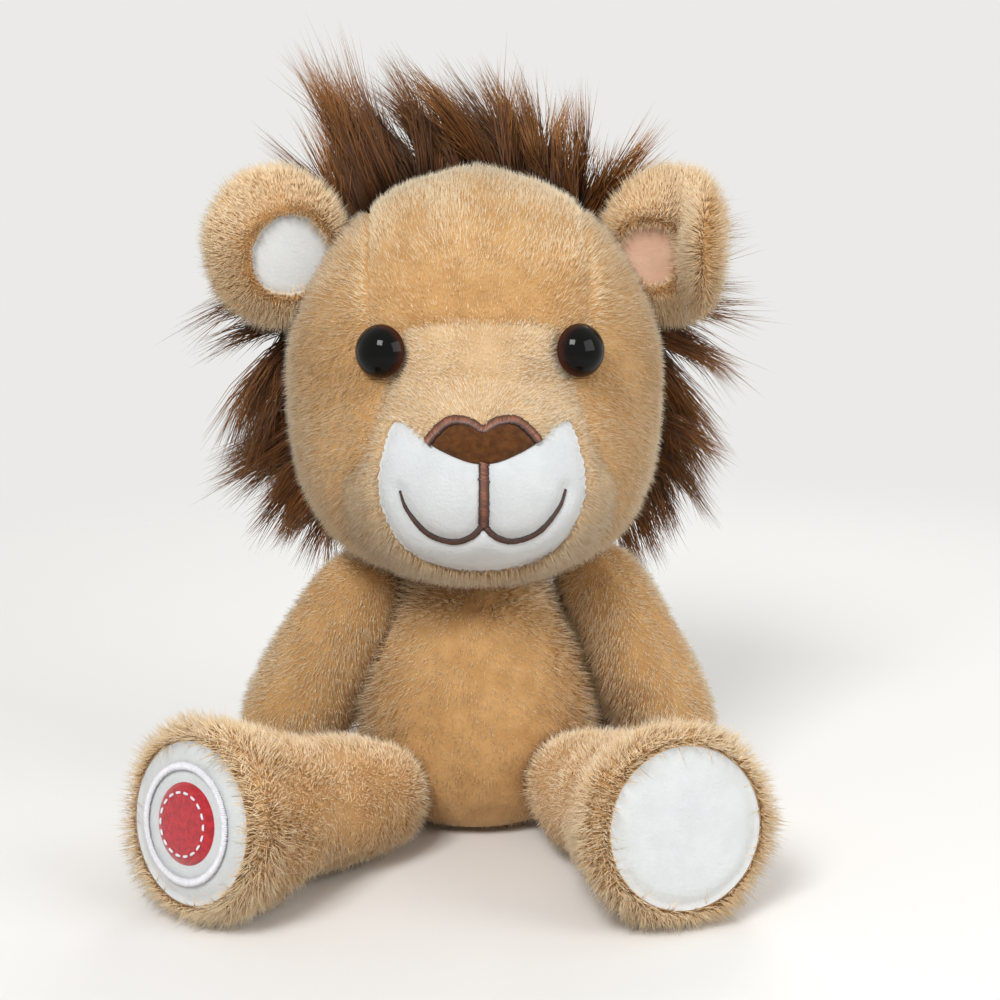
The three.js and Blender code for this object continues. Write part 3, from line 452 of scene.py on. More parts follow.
def strands(name, lines, width, tone, finish, body, fullness=1.0):
    """Hairs along centre lines (hair, point, xyz) as one piece."""
    lines = lines.copy()
    lines[:, :, 2] = np.maximum(lines[:, :, 2], 0.15 * mm)
    count, steps = lines.shape[:2]
    places, faces = strand_form(steps - 1)
    ring = np.round(places[:, 2] * (steps - 1)).astype(int)
    whole = unit(lines[:, -1] - lines[:, 0])
    side = unit(np.cross(whole, np.where(np.abs(whole[:, 2:]) < 0.9, [[0, 0, 1.0]], [[1.0, 0, 0]])))
    other = np.cross(whole, side)
    taper = np.maximum(1 - places[:, 2], 1e-6) ** (fullness - 1)
    across, along = places[:, 0] * taper, places[:, 1] * taper
    offset = side[:, None] * across[None, :, None] + other[:, None] * along[None, :, None]
    verts = lines[:, ring] + offset * width
    corners = (faces[None] + (np.arange(count) * len(places))[:, None, None]).ravel()
    mesh = bpy.data.meshes.new(name)
    mesh.vertices.add(count * len(places))
    mesh.vertices.foreach_set("co", verts.ravel())
    mesh.loops.add(len(corners))
    mesh.loops.foreach_set("vertex_index", corners)
    mesh.polygons.add(count * len(faces))
    mesh.polygons.foreach_set("loop_start", np.arange(count * len(faces)) * 3)
    mesh.polygons.foreach_set("use_smooth", np.ones(count * len(faces), bool))
    mesh.update(calc_edges=True)
    hair_map(mesh, np.repeat(np.clip(tone, 0.02, 0.98), faces.size), np.tile(places[faces.ravel(), 2], count))
    made = shown(name, mesh, finish)
    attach(made, body)


def hair_values(finish):
    """The tone of each hair or stitch, and how far along it a point is, as a finish reads them."""
    coordinate = finish.node("ShaderNodeUVMap", {"uv_map": "OFBake"}, {})
    return [finish.node("ShaderNodeSeparateXYZ", {}, {"Vector": coordinate}, axis) for axis in "XY"]


def pile_finish(name, root_shade, dark, light, tip_highlight, **constants):
    """Fur: dark between the roots as painted shade, dark to light by the hair's tone, and paler at the tips
    as a painted highlight.
    """
    values = {"Roughness": 0.5, "Specular_IOR_Level": 0.35, "Sheen_Weight": 0.1, "Sheen_Roughness": 0.4}
    values.update(constants)
    finish = Finish(name, **values)
    hair, along = hair_values(finish)
    middle = finish.mixed(hair.step(0.1, 0.85), dark, light)
    # Towards its tip each hair pales to the tip colour, the more so the higher its tone: a painted highlight
    # for the glints of the pile.
    pale = finish.mixed(along.step(0.55, 1.0) * (0.25 + hair * 0.75), middle, tip_highlight)
    # The lower part of each hair takes the root colour: painted shade between the hairs.
    finish.feed("Base Color", finish.mixed(along.step(0.0, 0.45), root_shade, pale))
    finish.feed("Roughness", values["Roughness"] - hair.step(0.9, 0.96) * 0.3)
    return finish


def pile(name, grown, nap, length, width, tone, body, slot, lean, seed, keep=None, glint=0.025, tuft=0.0,
         finish=None):
    """Short fur: each hair stands up from its root and leans along the nap, by itself or in small tufts."""
    spots, normals = grown
    random = np.random.default_rng(seed)
    flat = nap - normals * (nap * normals).sum(1, keepdims=True)
    flat = unit(unit(flat) + 0.35 * wander(spots, 5 * mm, seed) + random.normal(size=spots.shape) * 0.22)
    leans = np.clip(lean + random.normal(size=(len(spots), 1)) * 0.1, 0.05, 0.95)
    reach = np.reshape(length, (-1, 1)) * (1 + random.normal(size=(len(spots), 1)) * 0.14)
    tips = spots + (normals * (1 - leans) + flat * leans) * reach
    if tuft:
        warped = spots + wander(spots, 3 * mm, seed + 2) * tuft
        tips += (np.round(warped / tuft) * tuft - warped) * 0.6
    line = np.stack((spots - normals * 0.3 * mm, tips), 1)
    tones = tone + 0.12 * wander(spots, 6 * mm, seed + 1)[:, 0] + random.normal(size=len(spots)) * 0.13
    # A share of the hairs, the glints, take the lightest tone and so the palest tips: a painted highlight.
    # Their lower roughness in the finish is real.
    tones = np.where(random.random(len(spots)) < glint, 0.97, tones)
    if keep is not None:
        line, tones = line[keep], tones[keep]
    strands(f"{name}_pile", line, width, tones, finish or furs[slot], body)


def plush_cloth(name, dark, light):
    """The knitted backing between the roots of the pile."""
    finish = Finish(name, Roughness=0.9, Sheen_Weight=0.2, Specular_IOR_Level=0.2)
    finish.feed("Base Color", finish.mixed(finish.noise(180, 2).step(0.3, 0.7), dark, light))
    finish.bump(finish.noise(1500, 2), 0.4, 0.0004)
    return finish


backings = {
    "tan_plush": plush_cloth("tan_backing", (176, 134, 84), (192, 150, 98)),
    "pale_snout": plush_cloth("pale_backing", (188, 154, 112), (204, 172, 130)),
    "white_velour": plush_cloth("white_backing", (202, 205, 206), (208, 211, 212)),
    "mane_brown": plush_cloth("mane_backing", (34, 17, 6), (60, 31, 12)),
}
# Each look: name, root colour (painted shade between the hairs), dark and light colours by tone, and tip
# colour (a painted highlight).
fur_looks = {
    "tan_plush": ("tan_pile", (194, 151, 94), (206, 162, 104), (242, 217, 178), (253, 243, 220)),
    "pale_snout": ("pale_pile", (192, 158, 114), (206, 176, 133), (234, 212, 178), (254, 249, 236)),
    "white_velour": ("white_pile", (186, 189, 190), (204, 208, 208), (225, 228, 227), (233, 236, 234)),
}
furs = {slot: pile_finish(*looks) for slot, looks in fur_looks.items()}
stuffing_finish = plush_cloth("polyester_fibre", (222, 220, 214), (238, 236, 230))


def stuffed(name, form, body):
    """The stuffing inside a skin: a closed, crowned form of loose fibre."""
    places = points_of(form.verts)
    put(form, places + 0.25 * mm * wander(places, 4 * mm, 5))
    piece(f"{name}_fibre", form, stuffing_finish, body, name)


whole_head = bmesh.new()
bmesh.ops.create_icosphere(whole_head, subdivisions=7, radius=1)
put(whole_head, head_skin(unit(points_of(whole_head.verts))))
head_labels = head_panel(centres_of(whole_head))
put(whole_head, to_head(points_of(whole_head.verts)))
head_panels = [
    ("forehead", "forehead_panel", "tan_plush", 16000),
    ("cheek_left", "cheek_panel_left", "tan_plush", 20000),
    ("cheek_right", "cheek_panel_right", "tan_plush", 20000),
    ("snout", "snout_panel", "pale_snout", 20000),
    ("muzzle", "muzzle_patch", "white_velour", 11000),
    ("mane_crown", "mane_crown", "mane_brown", 13500),
    ("mane_left", "mane_left", "mane_brown", 11500),
    ("mane_right", "mane_right", "mane_brown", 11500),
    ("mane_nape", "mane_nape", "mane_brown", 2600),
]
head_roots = sewn_panels(whole_head, head_labels, head_panels, "head")
head_filling = bmesh.new()
bmesh.ops.create_icosphere(head_filling, subdivisions=5, radius=1)
filling_ways = unit(points_of(head_filling.verts))
filling = filling_ways * (head_reach(filling_ways) - 4.6 * mm)[:, None]
from_neck = filling - neck_place
too_near = np.linalg.norm(from_neck, axis=1) < neck_room
filling[too_near] = neck_place + unit(from_neck[too_near]) * neck_room
put(head_filling, to_head(filling))
stuffed("head_stuffing", head_filling, "head")

eye_clearing = 5.4 * mm
head_furs = [
    ("forehead", 3.1, 0.12, 0.5, "tan_plush", 0.13),
    ("cheek_left", 3.3, 0.12, 0.48, "tan_plush", 0.05),
    ("cheek_right", 3.3, 0.12, 0.48, "tan_plush", 0.05),
    ("snout", 2.9, 0.11, 0.42, "pale_snout", 0.13),
    ("muzzle", 1.0, 0.1, 0.55, "white_velour", 0.05),
]
for seed, (name, length, width, lean, slot, glint) in enumerate(head_furs):
    own = own_frame(head_roots[name][0])
    x, y, z = own.T
    still = 0 * x
    if name == "forehead":
        nap = np.stack((x * 12, still, 0.2 + z * 25), 1)
        # The forehead's tone is low in the middle and rises towards the top, the sides, the lower edge and
        # the mane seam: a painted highlight for the glints of the pile, and painted shade in the middle.
        tone = 0.06 + 0.84 * ramp(z, 18 * mm, 18 * mm) + 0.4 * np.clip(np.abs(x) / (24 * mm) - 0.6, 0, 1)
        tone += 0.25 * (1 - ramp(z, 11 * mm, 4 * mm)) + 0.3 * ramp(y, -6 * mm, 12 * mm)
    elif name.startswith("cheek"):
        nap = np.stack((np.sign(x) * 0.5, 0.35 + still, -0.8 + 1.4 * ramp(z, 0, 30 * mm)), 1)
        # The cheeks' tone rises towards the back by the mane: a painted highlight for the glints along the
        # rim. It also rises upwards, towards the chin and along the seam above each eye.
        tone = 0.36 + 0.3 * ramp(z, 0, 38 * mm) + 0.25 * ramp(-z, 0, 40 * mm)
        tone += 0.5 * ramp(y, -14 * mm, 16 * mm)
        tone += 0.5 * swell(np.abs(x) - 25 * mm, 1.5 * mm) * swell(z - 16 * mm, 9 * mm)
    else:
        nap = np.stack((x, still, z + 9 * mm), 1) / (12 * mm)
        # The tone rises upwards: a painted highlight where the pile faces up. Along the snout's seam it
        # falls: painted shade in the groove there.
        tone = 0.6 + 0.15 * np.clip((z + 10 * mm) / (20 * mm), -1, 1)
        tone -= 0.3 * swell(edge_distance(own[:, [0, 2]], snout_edge), 2.5 * mm) * (name == "snout")
    chin = ramp(-z, 28 * mm, 8 * mm) * (name != "muzzle")
    length, lean = length + 0.9 * chin, lean - 0.18 * chin
    by_patch = swell(edge_distance(own[:, [0, 2]], patch_edge), 1.8 * mm)
    if name == "muzzle":
        length = length + 0.9 * by_patch
    else:
        lean = lean - 0.3 * by_patch
    keep = (np.linalg.norm(own - neck_place, axis=1) > neck_room) & ~inside(own[:, [0, 2]], nose_edge)
    for seat in eye_seats:
        keep &= np.linalg.norm(own - seat, axis=1) > eye_clearing
    pile(name, head_roots[name], nap @ turn_matrix.T, length * mm, width * mm, tone, "head", slot,
         lean[:, None], 60 + seed, keep, glint)

# Eyes: black safety eyes of glossy plastic, each a dome whose rim lets a dark brown show through. They
# sit in small dimples of the pile, and their shanks are locked by nylon washers inside the head.
eye_outline = [(0, 4.8), (1.7, 4.65), (3.2, 4.05), (4.5, 3.05), (5.4, 1.9), (5.9, 0.9), (6, 0.35), (5.8, 0)]
eye_outline += [(1.7, 0), (1.7, -5.5), (0, -5.5)]


def spun(outline, steps, merge=1e-6):
    """A round form from an outline (radius, height)."""
    form = bmesh.new()
    ring = [form.verts.new((radius, 0, height)) for radius, height in outline]
    links = [form.edges.new(pair) for pair in zip(ring, ring[1:])]
    bmesh.ops.spin(form, geom=ring + links, cent=(0, 0, 0), axis=(0, 0, 1), angle=2 * math.pi, steps=steps,
                   use_merge=True)
    bmesh.ops.remove_doubles(form, verts=form.verts, dist=merge)
    bmesh.ops.recalc_face_normals(form, faces=form.faces)
    return form


for side, seat in zip(("left", "right"), eye_seats):
    eye = spun(np.array(eye_outline) * mm, 48, 1e-7)
    away = Vector(unit(seat / head_half**2) @ turn_matrix.T)
    lay = away.to_track_quat("Z", "Y").to_matrix()
    lift = np.array(away) * 0.3 * mm
    put(eye, np.array([lay @ vert.co for vert in eye.verts]) + to_head(seat) + lift)
    finish = Finish(f"eye_{side}_gloss", Roughness=0.06, Specular_IOR_Level=0.15)
    values = {0: finish.place(), 1: away}
    height = finish.node("ShaderNodeVectorMath", {"operation": "DOT_PRODUCT"}, values, 1)
    height = height - float((to_head(seat) + lift) @ np.array(away))
    tone = (height + finish.noise(900, 2) * 0.0006).step(0.0012, 0.0032)
    finish.feed("Base Color", finish.mixed(tone, (58, 26, 12), (6, 5, 5)))
    dome = piece(f"eye_{side}_dome", eye, finish, "head", f"eye_{side}")
    rounding = dome.modifiers.new("rounding", "SUBSURF")
    rounding.levels = rounding.render_levels = 1

nylon = Finish("washer_nylon", Roughness=0.45)
nylon.feed("Base Color", nylon.mixed(nylon.noise(400), (222, 218, 206), (234, 231, 221)))
nylon.bump(nylon.noise(2500), 0.15, 0.0002)
for node in ("eye_left_washer", "eye_right_washer"):
    shown_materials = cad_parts[node].data.materials
    shown_materials.clear()
    shown_materials.append(nylon.material)

# Nose and mouth: a nose of brown felt with a satin-stitched border along its top, the parting under it,
# and the smile, sewn with glossy thread that draws the cloth in.
face_middle = np.array((0, 8, -12)) * mm


def on_face(flat, lift):
    """Places on the face's cloth for points of the front view, lifted off it, in the lion's frame."""
    x, z = flat.T
    depth = np.full(len(flat), -40 * mm)
    for _ in range(12):
        reach = np.linalg.norm(head_skin(unit(np.stack((x, depth, z), 1))), axis=1)
        depth = depth * 0.3 + 0.7 * -np.sqrt(np.maximum(reach**2 - x**2 - z**2, 1e-9))
    point = np.stack((x, depth, z), 1)
    return to_head(point + unit(point - face_middle) * np.reshape(lift, (-1, 1)))


def spread_disc(outline, rings=10):
    """A disc of rings about a point, filled out to a closed outline in the front view."""
    form = spun([(i / rings, 0) for i in range(rings + 1)], len(outline))
    places = points_of(form.verts)
    share = np.linalg.norm(places[:, :2], axis=1)
    turn = np.arctan2(places[:, 1], places[:, 0]) % (2 * math.pi) / (2 * math.pi) * len(outline)
    index = np.round(turn).astype(int) % len(outline)
    middle = outline.mean(0)
    return form, middle + (outline[index] - middle) * share[:, None], share


stitch_form = spun([(0, 0), (0.75, 0.05), (1, 0.2), (1, 0.8), (0.75, 0.95), (0, 1)], 6)
stitch_mesh = bpy.data.meshes.new("stitch")
stitch_form.to_mesh(stitch_mesh)
stitch_form.free()


def stitches(name, starts, ends, ways, thickness, rise, finish, body, node):
    """A row of stitches from their starts to their ends, each arching up along its way."""
    form = bmesh.new()
    base = points_of(stitch_mesh.vertices)
    for start, end, way in zip(starts, ends, ways):
        first = len(form.verts)
        form.from_mesh(stitch_mesh)
        form.verts.ensure_lookup_table()
        along = end - start
        side = unit(np.cross(along, way))
        up = unit(np.cross(side, along))
        arch = np.sin(base[:, 2] * math.pi)[:, None] * rise
        round_it = (base[:, :1] * side + base[:, 1:2] * up * 0.7) * thickness
        places = start + base[:, 2:] * along + round_it + up * arch
        for vert, place in zip(form.verts[first:], places):
            vert.co = place
    made = piece(name, form, finish, body, node)
    corners = np.zeros(len(made.data.loops), int)
    made.data.loops.foreach_get("vertex_index", corners)
    tones = np.random.default_rng(7).random(len(starts))[corners // len(base)]
    hair_map(made.data, tones, base[corners % len(base), 2])


def thread_finish(name, dark, light):
    """Glossy thread of the dark colour, with a painted highlight in the light colour where each stitch arches
    up; it stays dark where it goes into the cloth.
    """
    finish = Finish(name, Roughness=0.35, Specular_IOR_Level=0.55)
    tone, along = hair_values(finish)
    # Painted highlight: each stitch is lightest halfway along, by a share that differs from stitch to stitch.
    stitch_highlight = along.step(0.1, 0.5) * (1 - along.step(0.5, 0.9))
    finish.feed("Base Color", finish.mixed(stitch_highlight * (0.35 + tone * 0.65), dark, light))
    return finish


def sampled(path, runs, at):
    """The places on a path, whose points lie at the given runs along it, at other runs."""
    return np.stack([np.interp(at, runs, values) for values in path.T], 1)


def satin(name, line, width, spacing, finish, body, place, raised, node, closed=False):
    """Satin stitches laid side by side across a line, raised off the cloth, on which a function puts them."""
    random = np.random.default_rng(3)
    path = np.concatenate((line, line[:1])) if closed else line
    runs = np.concatenate(((0,), np.cumsum(np.linalg.norm(np.diff(path, axis=0), axis=1))))
    count = max(int(runs[-1] / spacing), 2)
    at = np.linspace(0, runs[-1], count, endpoint=not closed)
    middle = sampled(path, runs, at)
    ahead = unit(sampled(path, runs, at + 0.2 * mm) - sampled(path, runs, at - 0.2 * mm))
    across = np.stack((-ahead[:, 1], ahead[:, 0]), 1) + ahead * 0.25
    widths = np.atleast_1d(width)
    halves = np.interp(at / runs[-1], np.linspace(0, 1, len(widths)), widths)[:, None] / 2
    halves = halves * (1 + random.normal(size=(count, 1)) * 0.05)
    starts, ends = (place(middle + across * half, 0.1 * mm + raised) for half in (-halves, halves))
    ways = unit(place(middle, 1 * mm + raised) - place(middle, raised))
    stitches(name, starts, ends, ways, 0.3 * mm, 0.45 * mm, finish, body, node)


felt = Finish("nose_felt_finish", Roughness=0.95, Sheen_Weight=0.15, Specular_IOR_Level=0.15)
felt.feed("Base Color", felt.mixed(felt.noise(700, 4).step(0.3, 0.7), (74, 42, 16), (98, 59, 27)))
felt.bump(felt.noise(3000, 3), 0.8, 0.0003)
nose, nose_flat, nose_share = spread_disc(nose_edge)
put(nose, on_face(nose_flat, 2.3 * mm * np.sqrt(np.maximum(1 - nose_share**6, 0)) - 0.4 * mm))
piece("nose_felt_pad", nose, felt, "head", "nose_felt")
# The second colour of each thread is its painted highlight.
border_thread = thread_finish("nose_border_thread", (58, 28, 18), (150, 92, 64))
mouth_thread = thread_finish("mouth_thread", (44, 23, 16), (84, 48, 34))
top_edge = np.roll(nose_edge, 32, 0)[:65]
smile_widths = np.array((0.5, 1.2, 1.4, 1.5, 1.4, 1.2, 0.5)) * mm
satin("nose_border_satin", top_edge, 1.9 * mm, 0.34 * mm, border_thread, "head", on_face, 1.5 * mm,
      "nose_border_stitch")
satin("mouth_smile", smile, smile_widths, 0.36 * mm, mouth_thread, "head", on_face, 0.5 * mm,
      "mouth_stitch")
satin("mouth_parting", philtrum, 2.3 * mm, 0.36 * mm, border_thread, "head", on_face, 0.7 * mm,
      None)

# Mane: long shaggy brown hair sewn behind the forehead and cheeks, over the crown, down both sides and
# the nape. It gathers into wavy locks that end in points, and a few hairs stray.
# Its root colour is painted shade between the hairs, and its tip colour a painted highlight.
furs["mane_brown"] = pile_finish("mane_pile", (46, 26, 8), (80, 46, 15), (140, 88, 38), (188, 132, 72),
                                 Roughness=0.55, Specular_IOR_Level=0.3)


def off_head(points, margin):
    """Points moved out until they clear the head by a margin."""
    own = own_frame(points)
    far = np.linalg.norm(own, axis=-1, keepdims=True)
    flat = unit(own).reshape(-1, 3)
    least = head_reach(flat).reshape(far.shape) + margin
    return points + (own / far * np.maximum(least - far, 0)) @ turn_matrix.T


def locks(name, grown, ways, length, droop, clumps, width, tone, body, seed, lie=None):
    """Long hair that gathers into wavy locks: each hair follows the lock whose leader stands nearest."""
    spots, normals = grown
    stray, steps = 0.22, 3
    random = np.random.default_rng(seed)
    leaders, nearest = [0], np.linalg.norm(spots - spots[0], axis=1)
    while len(leaders) < clumps:
        leaders.append(int(np.argmax(nearest)))
        nearest = np.minimum(nearest, np.linalg.norm(spots - spots[leaders[-1]], axis=1))
    gaps = np.linalg.norm(spots[:, None] - spots[None, leaders], axis=2)
    owner = np.argmin(gaps + random.normal(size=gaps.shape) * 0.6 * mm, axis=1)
    length = np.broadcast_to(length, len(spots))
    droop = np.broadcast_to(droop, len(spots))
    reach = length[leaders] * np.clip(1 + random.normal(size=clumps) * 0.12, 0.75, 1.1)
    swirl = wander(spots[leaders], 9 * mm, seed) * 0.22 + random.normal(size=(clumps, 3)) * 0.08
    wave = unit(random.normal(size=(clumps, 3)))
    phase = random.random(clumps) * 6.3
    tousle = wander(spots[leaders], 7 * mm, seed + 1) * 0.25
    way = unit(ways[leaders] + tousle + random.normal(size=(clumps, 3)) * 0.08)
    point = spots[leaders]
    layer = random.random((clumps, 1)) * 3.5 * mm
    guide = [point]
    pull = np.stack((0 * phase, 0 * phase, -droop[leaders] * 0.3), 1)
    for step in range(steps):
        way = unit(way + swirl + pull + wave * (0.3 * np.sin(phase + 1.7 * step))[:, None])
        ahead = point + way * (reach / steps)[:, None]
        if lie:
            ahead = lie(ahead, mane_depth + layer * (step + 1) / steps)
        way = unit(ahead - point)
        point = point + way * (reach / steps)[:, None]
        guide.append(point)
    guide = np.stack(guide, 1) - spots[leaders][:, None]
    shares = (np.arange(steps + 1) / steps)[None, :, None]
    full = random.random(len(spots)) ** 0.6
    scale = (0.45 + 0.6 * full)[:, None, None]
    own = random.random(len(spots)) < stray
    gather = np.where(own, 0, 0.15 + 0.5 * full)[:, None, None] * shares**2
    toward = spots[leaders][owner] - spots
    drift = unit(random.normal(size=(len(spots), 3)))[:, None] * shares**1.6
    drift = drift * (np.where(own, 0.17, 0.09) * length)[:, None, None]
    wag = unit(random.normal(size=(len(spots), 3)))[:, None]
    ripple = wag * np.sin(shares * 7 + random.random((len(spots), 1, 1)) * 6.3)
    line = (spots - normals * 0.5 * mm)[:, None] + guide[owner] * scale + toward[:, None] * gather * scale
    line = line + drift + ripple * shares * 0.35 * mm
    if lie:
        line[:, 1:] = lie(line[:, 1:], mane_depth)
    tones = tone + random.normal(size=clumps)[owner] * 0.14 + random.normal(size=len(spots)) * 0.14
    strands(f"{name}_hair", line, width, tones, furs["mane_brown"], body, 0.8)


mane_clumps = {"mane_crown": 150, "mane_left": 130, "mane_right": 130, "mane_nape": 40}
for seed, (name, clumps) in enumerate(mane_clumps.items()):
    spots, normals = head_roots[name]
    own = own_frame(spots)
    angle = bearing(own)
    back = ramp(own[:, 1] - mane_seam, 4 * mm, 18 * mm)
    thinned = np.random.default_rng(seed).random(len(spots)) < np.where(back > 0.15, 0.62, 1)
    spots, normals, own, angle, back = (values[thinned] for values in (spots, normals, own, angle, back))
    around = unit(own * (1, 0, 1))
    if name == "mane_crown":
        length = 26 + 11 * swell(angle + 24, 12) + 12 * swell(angle - 11, 9)
        length += 5 * np.clip(np.abs(angle) / 10 - 2, 0, 1)
        length = length * (1 - back) + 21 * back
        ways = around * (0.7, 1, 1) + np.stack((-0.06 + 0 * back, -0.05 + 1.3 * back, 0.4 - 1.5 * back), 1)
        droop = 0.05 + 3.2 * back
    elif name == "mane_nape":
        length = 16 - 3 * back
        ways = around * 0.5 + (0, 0.9, -0.4)
        droop = 0.6
    else:
        length = 32 - 10 * ramp(np.abs(angle), 95, 30) - 8 * back
        ways = around + np.stack((0 * back, 0.05 + 0.6 * back, -0.3 - back), 1)
        droop = 0.55 + 1.4 * back
    locks(name, (spots, normals), unit(ways) @ turn_matrix.T, length * mm, droop, clumps, 0.21 * mm, 0.48,
          "head", 200 + seed, off_head)

# Ears: two round pads of plush with a pale velour patch in front. The lion's right ear stands open, and its
# left ear is folded forward. The pile radiates over the rim.
ear_half = np.array((17.5, 5, 19)) * mm
fold_radius, fold_angle = 7 * mm, math.radians(110)
backings["pink_velour"] = plush_cloth("pink_backing", (204, 166, 142), (216, 180, 156))
# The root colour is painted shade between the hairs, and the tip colour a painted highlight.
pink_looks = ((200, 162, 136), (218, 182, 156), (234, 206, 184), (246, 228, 212))
furs["pink_velour"] = pile_finish("pink_pile", *pink_looks)


def ear_shape(points, folded):
    """Cups an ear towards the front, or folds its outer half forward."""
    x, y, z = points.T
    spread = (x / ear_half[0]) ** 2 + (z / ear_half[2]) ** 2
    if not folded:
        return np.stack((x, y - 3 * mm * (np.minimum(spread, 1) - 0.5), z), 1)
    turn = np.clip(x / fold_radius, 0, fold_angle)
    straight = np.maximum(x, 0) - turn * fold_radius
    across = (fold_radius + y) * np.sin(turn) + straight * np.cos(turn)
    deep = (y + fold_radius) * np.cos(turn) - fold_radius - straight * np.sin(turn)
    return np.stack((np.where(x > 0, across, x), np.where(x > 0, deep, y), z), 1)


def patch_share(points, centre, half):
    """How far points lie from an ear patch's centre, as a share of the way to its ragged edge."""
    away = (points[:, [0, 2]] - centre) / half
    return np.linalg.norm(away, axis=1) + 0.09 * wander(points, 4 * mm, 33)[:, 0]


for sign, side, folded in ((1, "left", True), (-1, "right", False)):
    ear = bmesh.new()
    bmesh.ops.create_icosphere(ear, subdivisions=6, radius=1)
    flat = points_of(ear.verts) * (ear_half - np.array((2.4, 1.2, 2.4)) * mm)
    patch_x, patch_z = (-5.4 * mm, -2.2 * mm) if folded else (3.4 * mm, -2 * mm)
    patch_half = np.array((8.2, 7.2) if folded else (9.4, 9.1)) * mm
    to_patch = patch_share(flat, (patch_x, patch_z), patch_half)
    before = flat[:, 1] < 0
    flat[:, 1] += np.where(before, 1.3 * mm * ramp(-to_patch, -1.08, 0.12), 0)
    flat[:, 1] += np.where(before, 0.5 * mm * swell(to_patch - 1, 0.1), 0)
    put(ear, flat)
    middles = centres_of(ear)
    to_patch = patch_share(middles, (patch_x, patch_z), patch_half)
    labels = np.where(middles[:, 1] > 0, 2, np.where(to_patch < 1.05, 1, 0))
    ear_place = np.array((sign * 46, 1, 28)) * mm
    put(ear, ear_shape(flat, folded) + ear_place)
    middles = centres_of(ear)
    labels[np.linalg.norm(middles, axis=1) < head_reach(unit(middles)) - 2.5 * mm] = -1
    put(ear, to_head(points_of(ear.verts)))
    patch_slot = "pink_velour" if folded else "white_velour"
    ear_panels = [
        (f"ear_{side}_front", f"ear_{side}_front", "tan_plush", 10000),
        (f"ear_{side}_patch", f"ear_{side}_patch", patch_slot, 3000),
        (f"ear_{side}_back", f"ear_{side}_back", "tan_plush", 8500),
    ]
    ear_roots = sewn_panels(ear, labels, ear_panels, "head")
    for seed, (name, grown) in enumerate(ear_roots.items()):
        own = own_frame(grown[0])
        keep = np.linalg.norm(own, axis=1) > head_reach(unit(own)) - 0.5 * mm
        nap = unit(own - ear_place - (patch_x, 0, patch_z)) @ turn_matrix.T
        if name.endswith("patch"):
            pile(name, grown, nap, 1.1 * mm, 0.1 * mm, 0.55, "head", patch_slot, 0.5, 300 + seed, keep)
            continue
        rise = np.clip(np.linalg.norm((own - ear_place) / ear_half, axis=1) * 2.2 - 1.2, 0, 1)
        from_patch = np.linalg.norm((own - ear_place)[:, [0, 2]] - (patch_x, patch_z), axis=1)
        at_patch = swell(from_patch - patch_half[0], 2 * mm) * (own[:, 1] < ear_place[1])
        lean = 0.58 - 0.25 * rise - 0.3 * at_patch
        tone = 0.42 + (0.05 if folded else 0.25) * rise
        pile(name, grown, nap, (3.2 + 2.0 * rise) * mm, 0.12 * mm, tone, "head", "tan_plush", lean[:, None],
             310 + seed, keep, 0.04)

# Body: a pear of plush with one front panel and two back panels, closed by hand down the middle of the
# back. Its neck is a ball inside the head. It is hollowed where the arms and legs are sewn on.
body_radius, neck_height, neck_radius = 27.5 * mm, 60 * mm, 14 * mm
body_shares = [(0, 0), (0.4, 0.002), (0.7, 0.035), (0.92, 0.15), (1, 0.34)]
body_shares += [(0.97, 0.53), (0.87, 0.7), (0.72, 0.86)]
body_curve = np.array(body_shares) * (body_radius, neck_height) - (0, 0.5 * mm)
body_outline = smooth_line(np.concatenate((body_curve, [(neck_radius, neck_height)])), 10)
dome = [(math.cos(turn), math.sin(turn)) for turn in np.linspace(0, math.pi / 2, 13)[1:]]
body_outline = np.concatenate((body_outline, np.array(dome) * neck_radius + (0, neck_height)))
body_outline[:, 0] = np.maximum(body_outline[:, 0], 0)


def drawn_in(outline, depth):
    """An outline (radius, height) moved inwards by a depth."""
    ahead = np.gradient(outline, axis=0)
    inward = unit(np.stack((-ahead[:, 1], ahead[:, 0]), 1))
    moved = outline + inward * np.reshape(depth, (-1, 1))
    moved[0, 0] = moved[-1, 0] = 0
    moved[:, 0] = np.maximum(moved[:, 0], 0)
    return moved


def turned(outline, steps=112):
    """A closed round form from an outline (radius, height), with its faces outwards."""
    form = spun(outline, steps, 2e-5)
    if form.calc_volume(signed=True) < 0:
        bmesh.ops.reverse_faces(form, faces=form.faces)
    return form


def inside_torso(points, margin):
    """Draws points in until they lie a margin inside the solids, as felt from outside towards the middle."""
    moved = points.copy()
    spine = points * (0, 0, 1)
    spine[:, 2] = np.clip(spine[:, 2], 14 * mm, 60 * mm)
    for i, (point, middle) in enumerate(zip(points, spine)):
        way = point - middle
        reach = np.linalg.norm(way)
        if reach < 1e-6:
            continue
        way = way / reach
        hit = torso_tree.ray_cast(Vector(middle + way * 0.08), Vector(-way), 0.08)
        if hit[0] is not None:
            depth = np.linalg.norm(np.array(hit[0]) - middle) - margin
            if depth < reach:
                moved[i] = middle + way * max(depth, 1 * mm)
    return moved


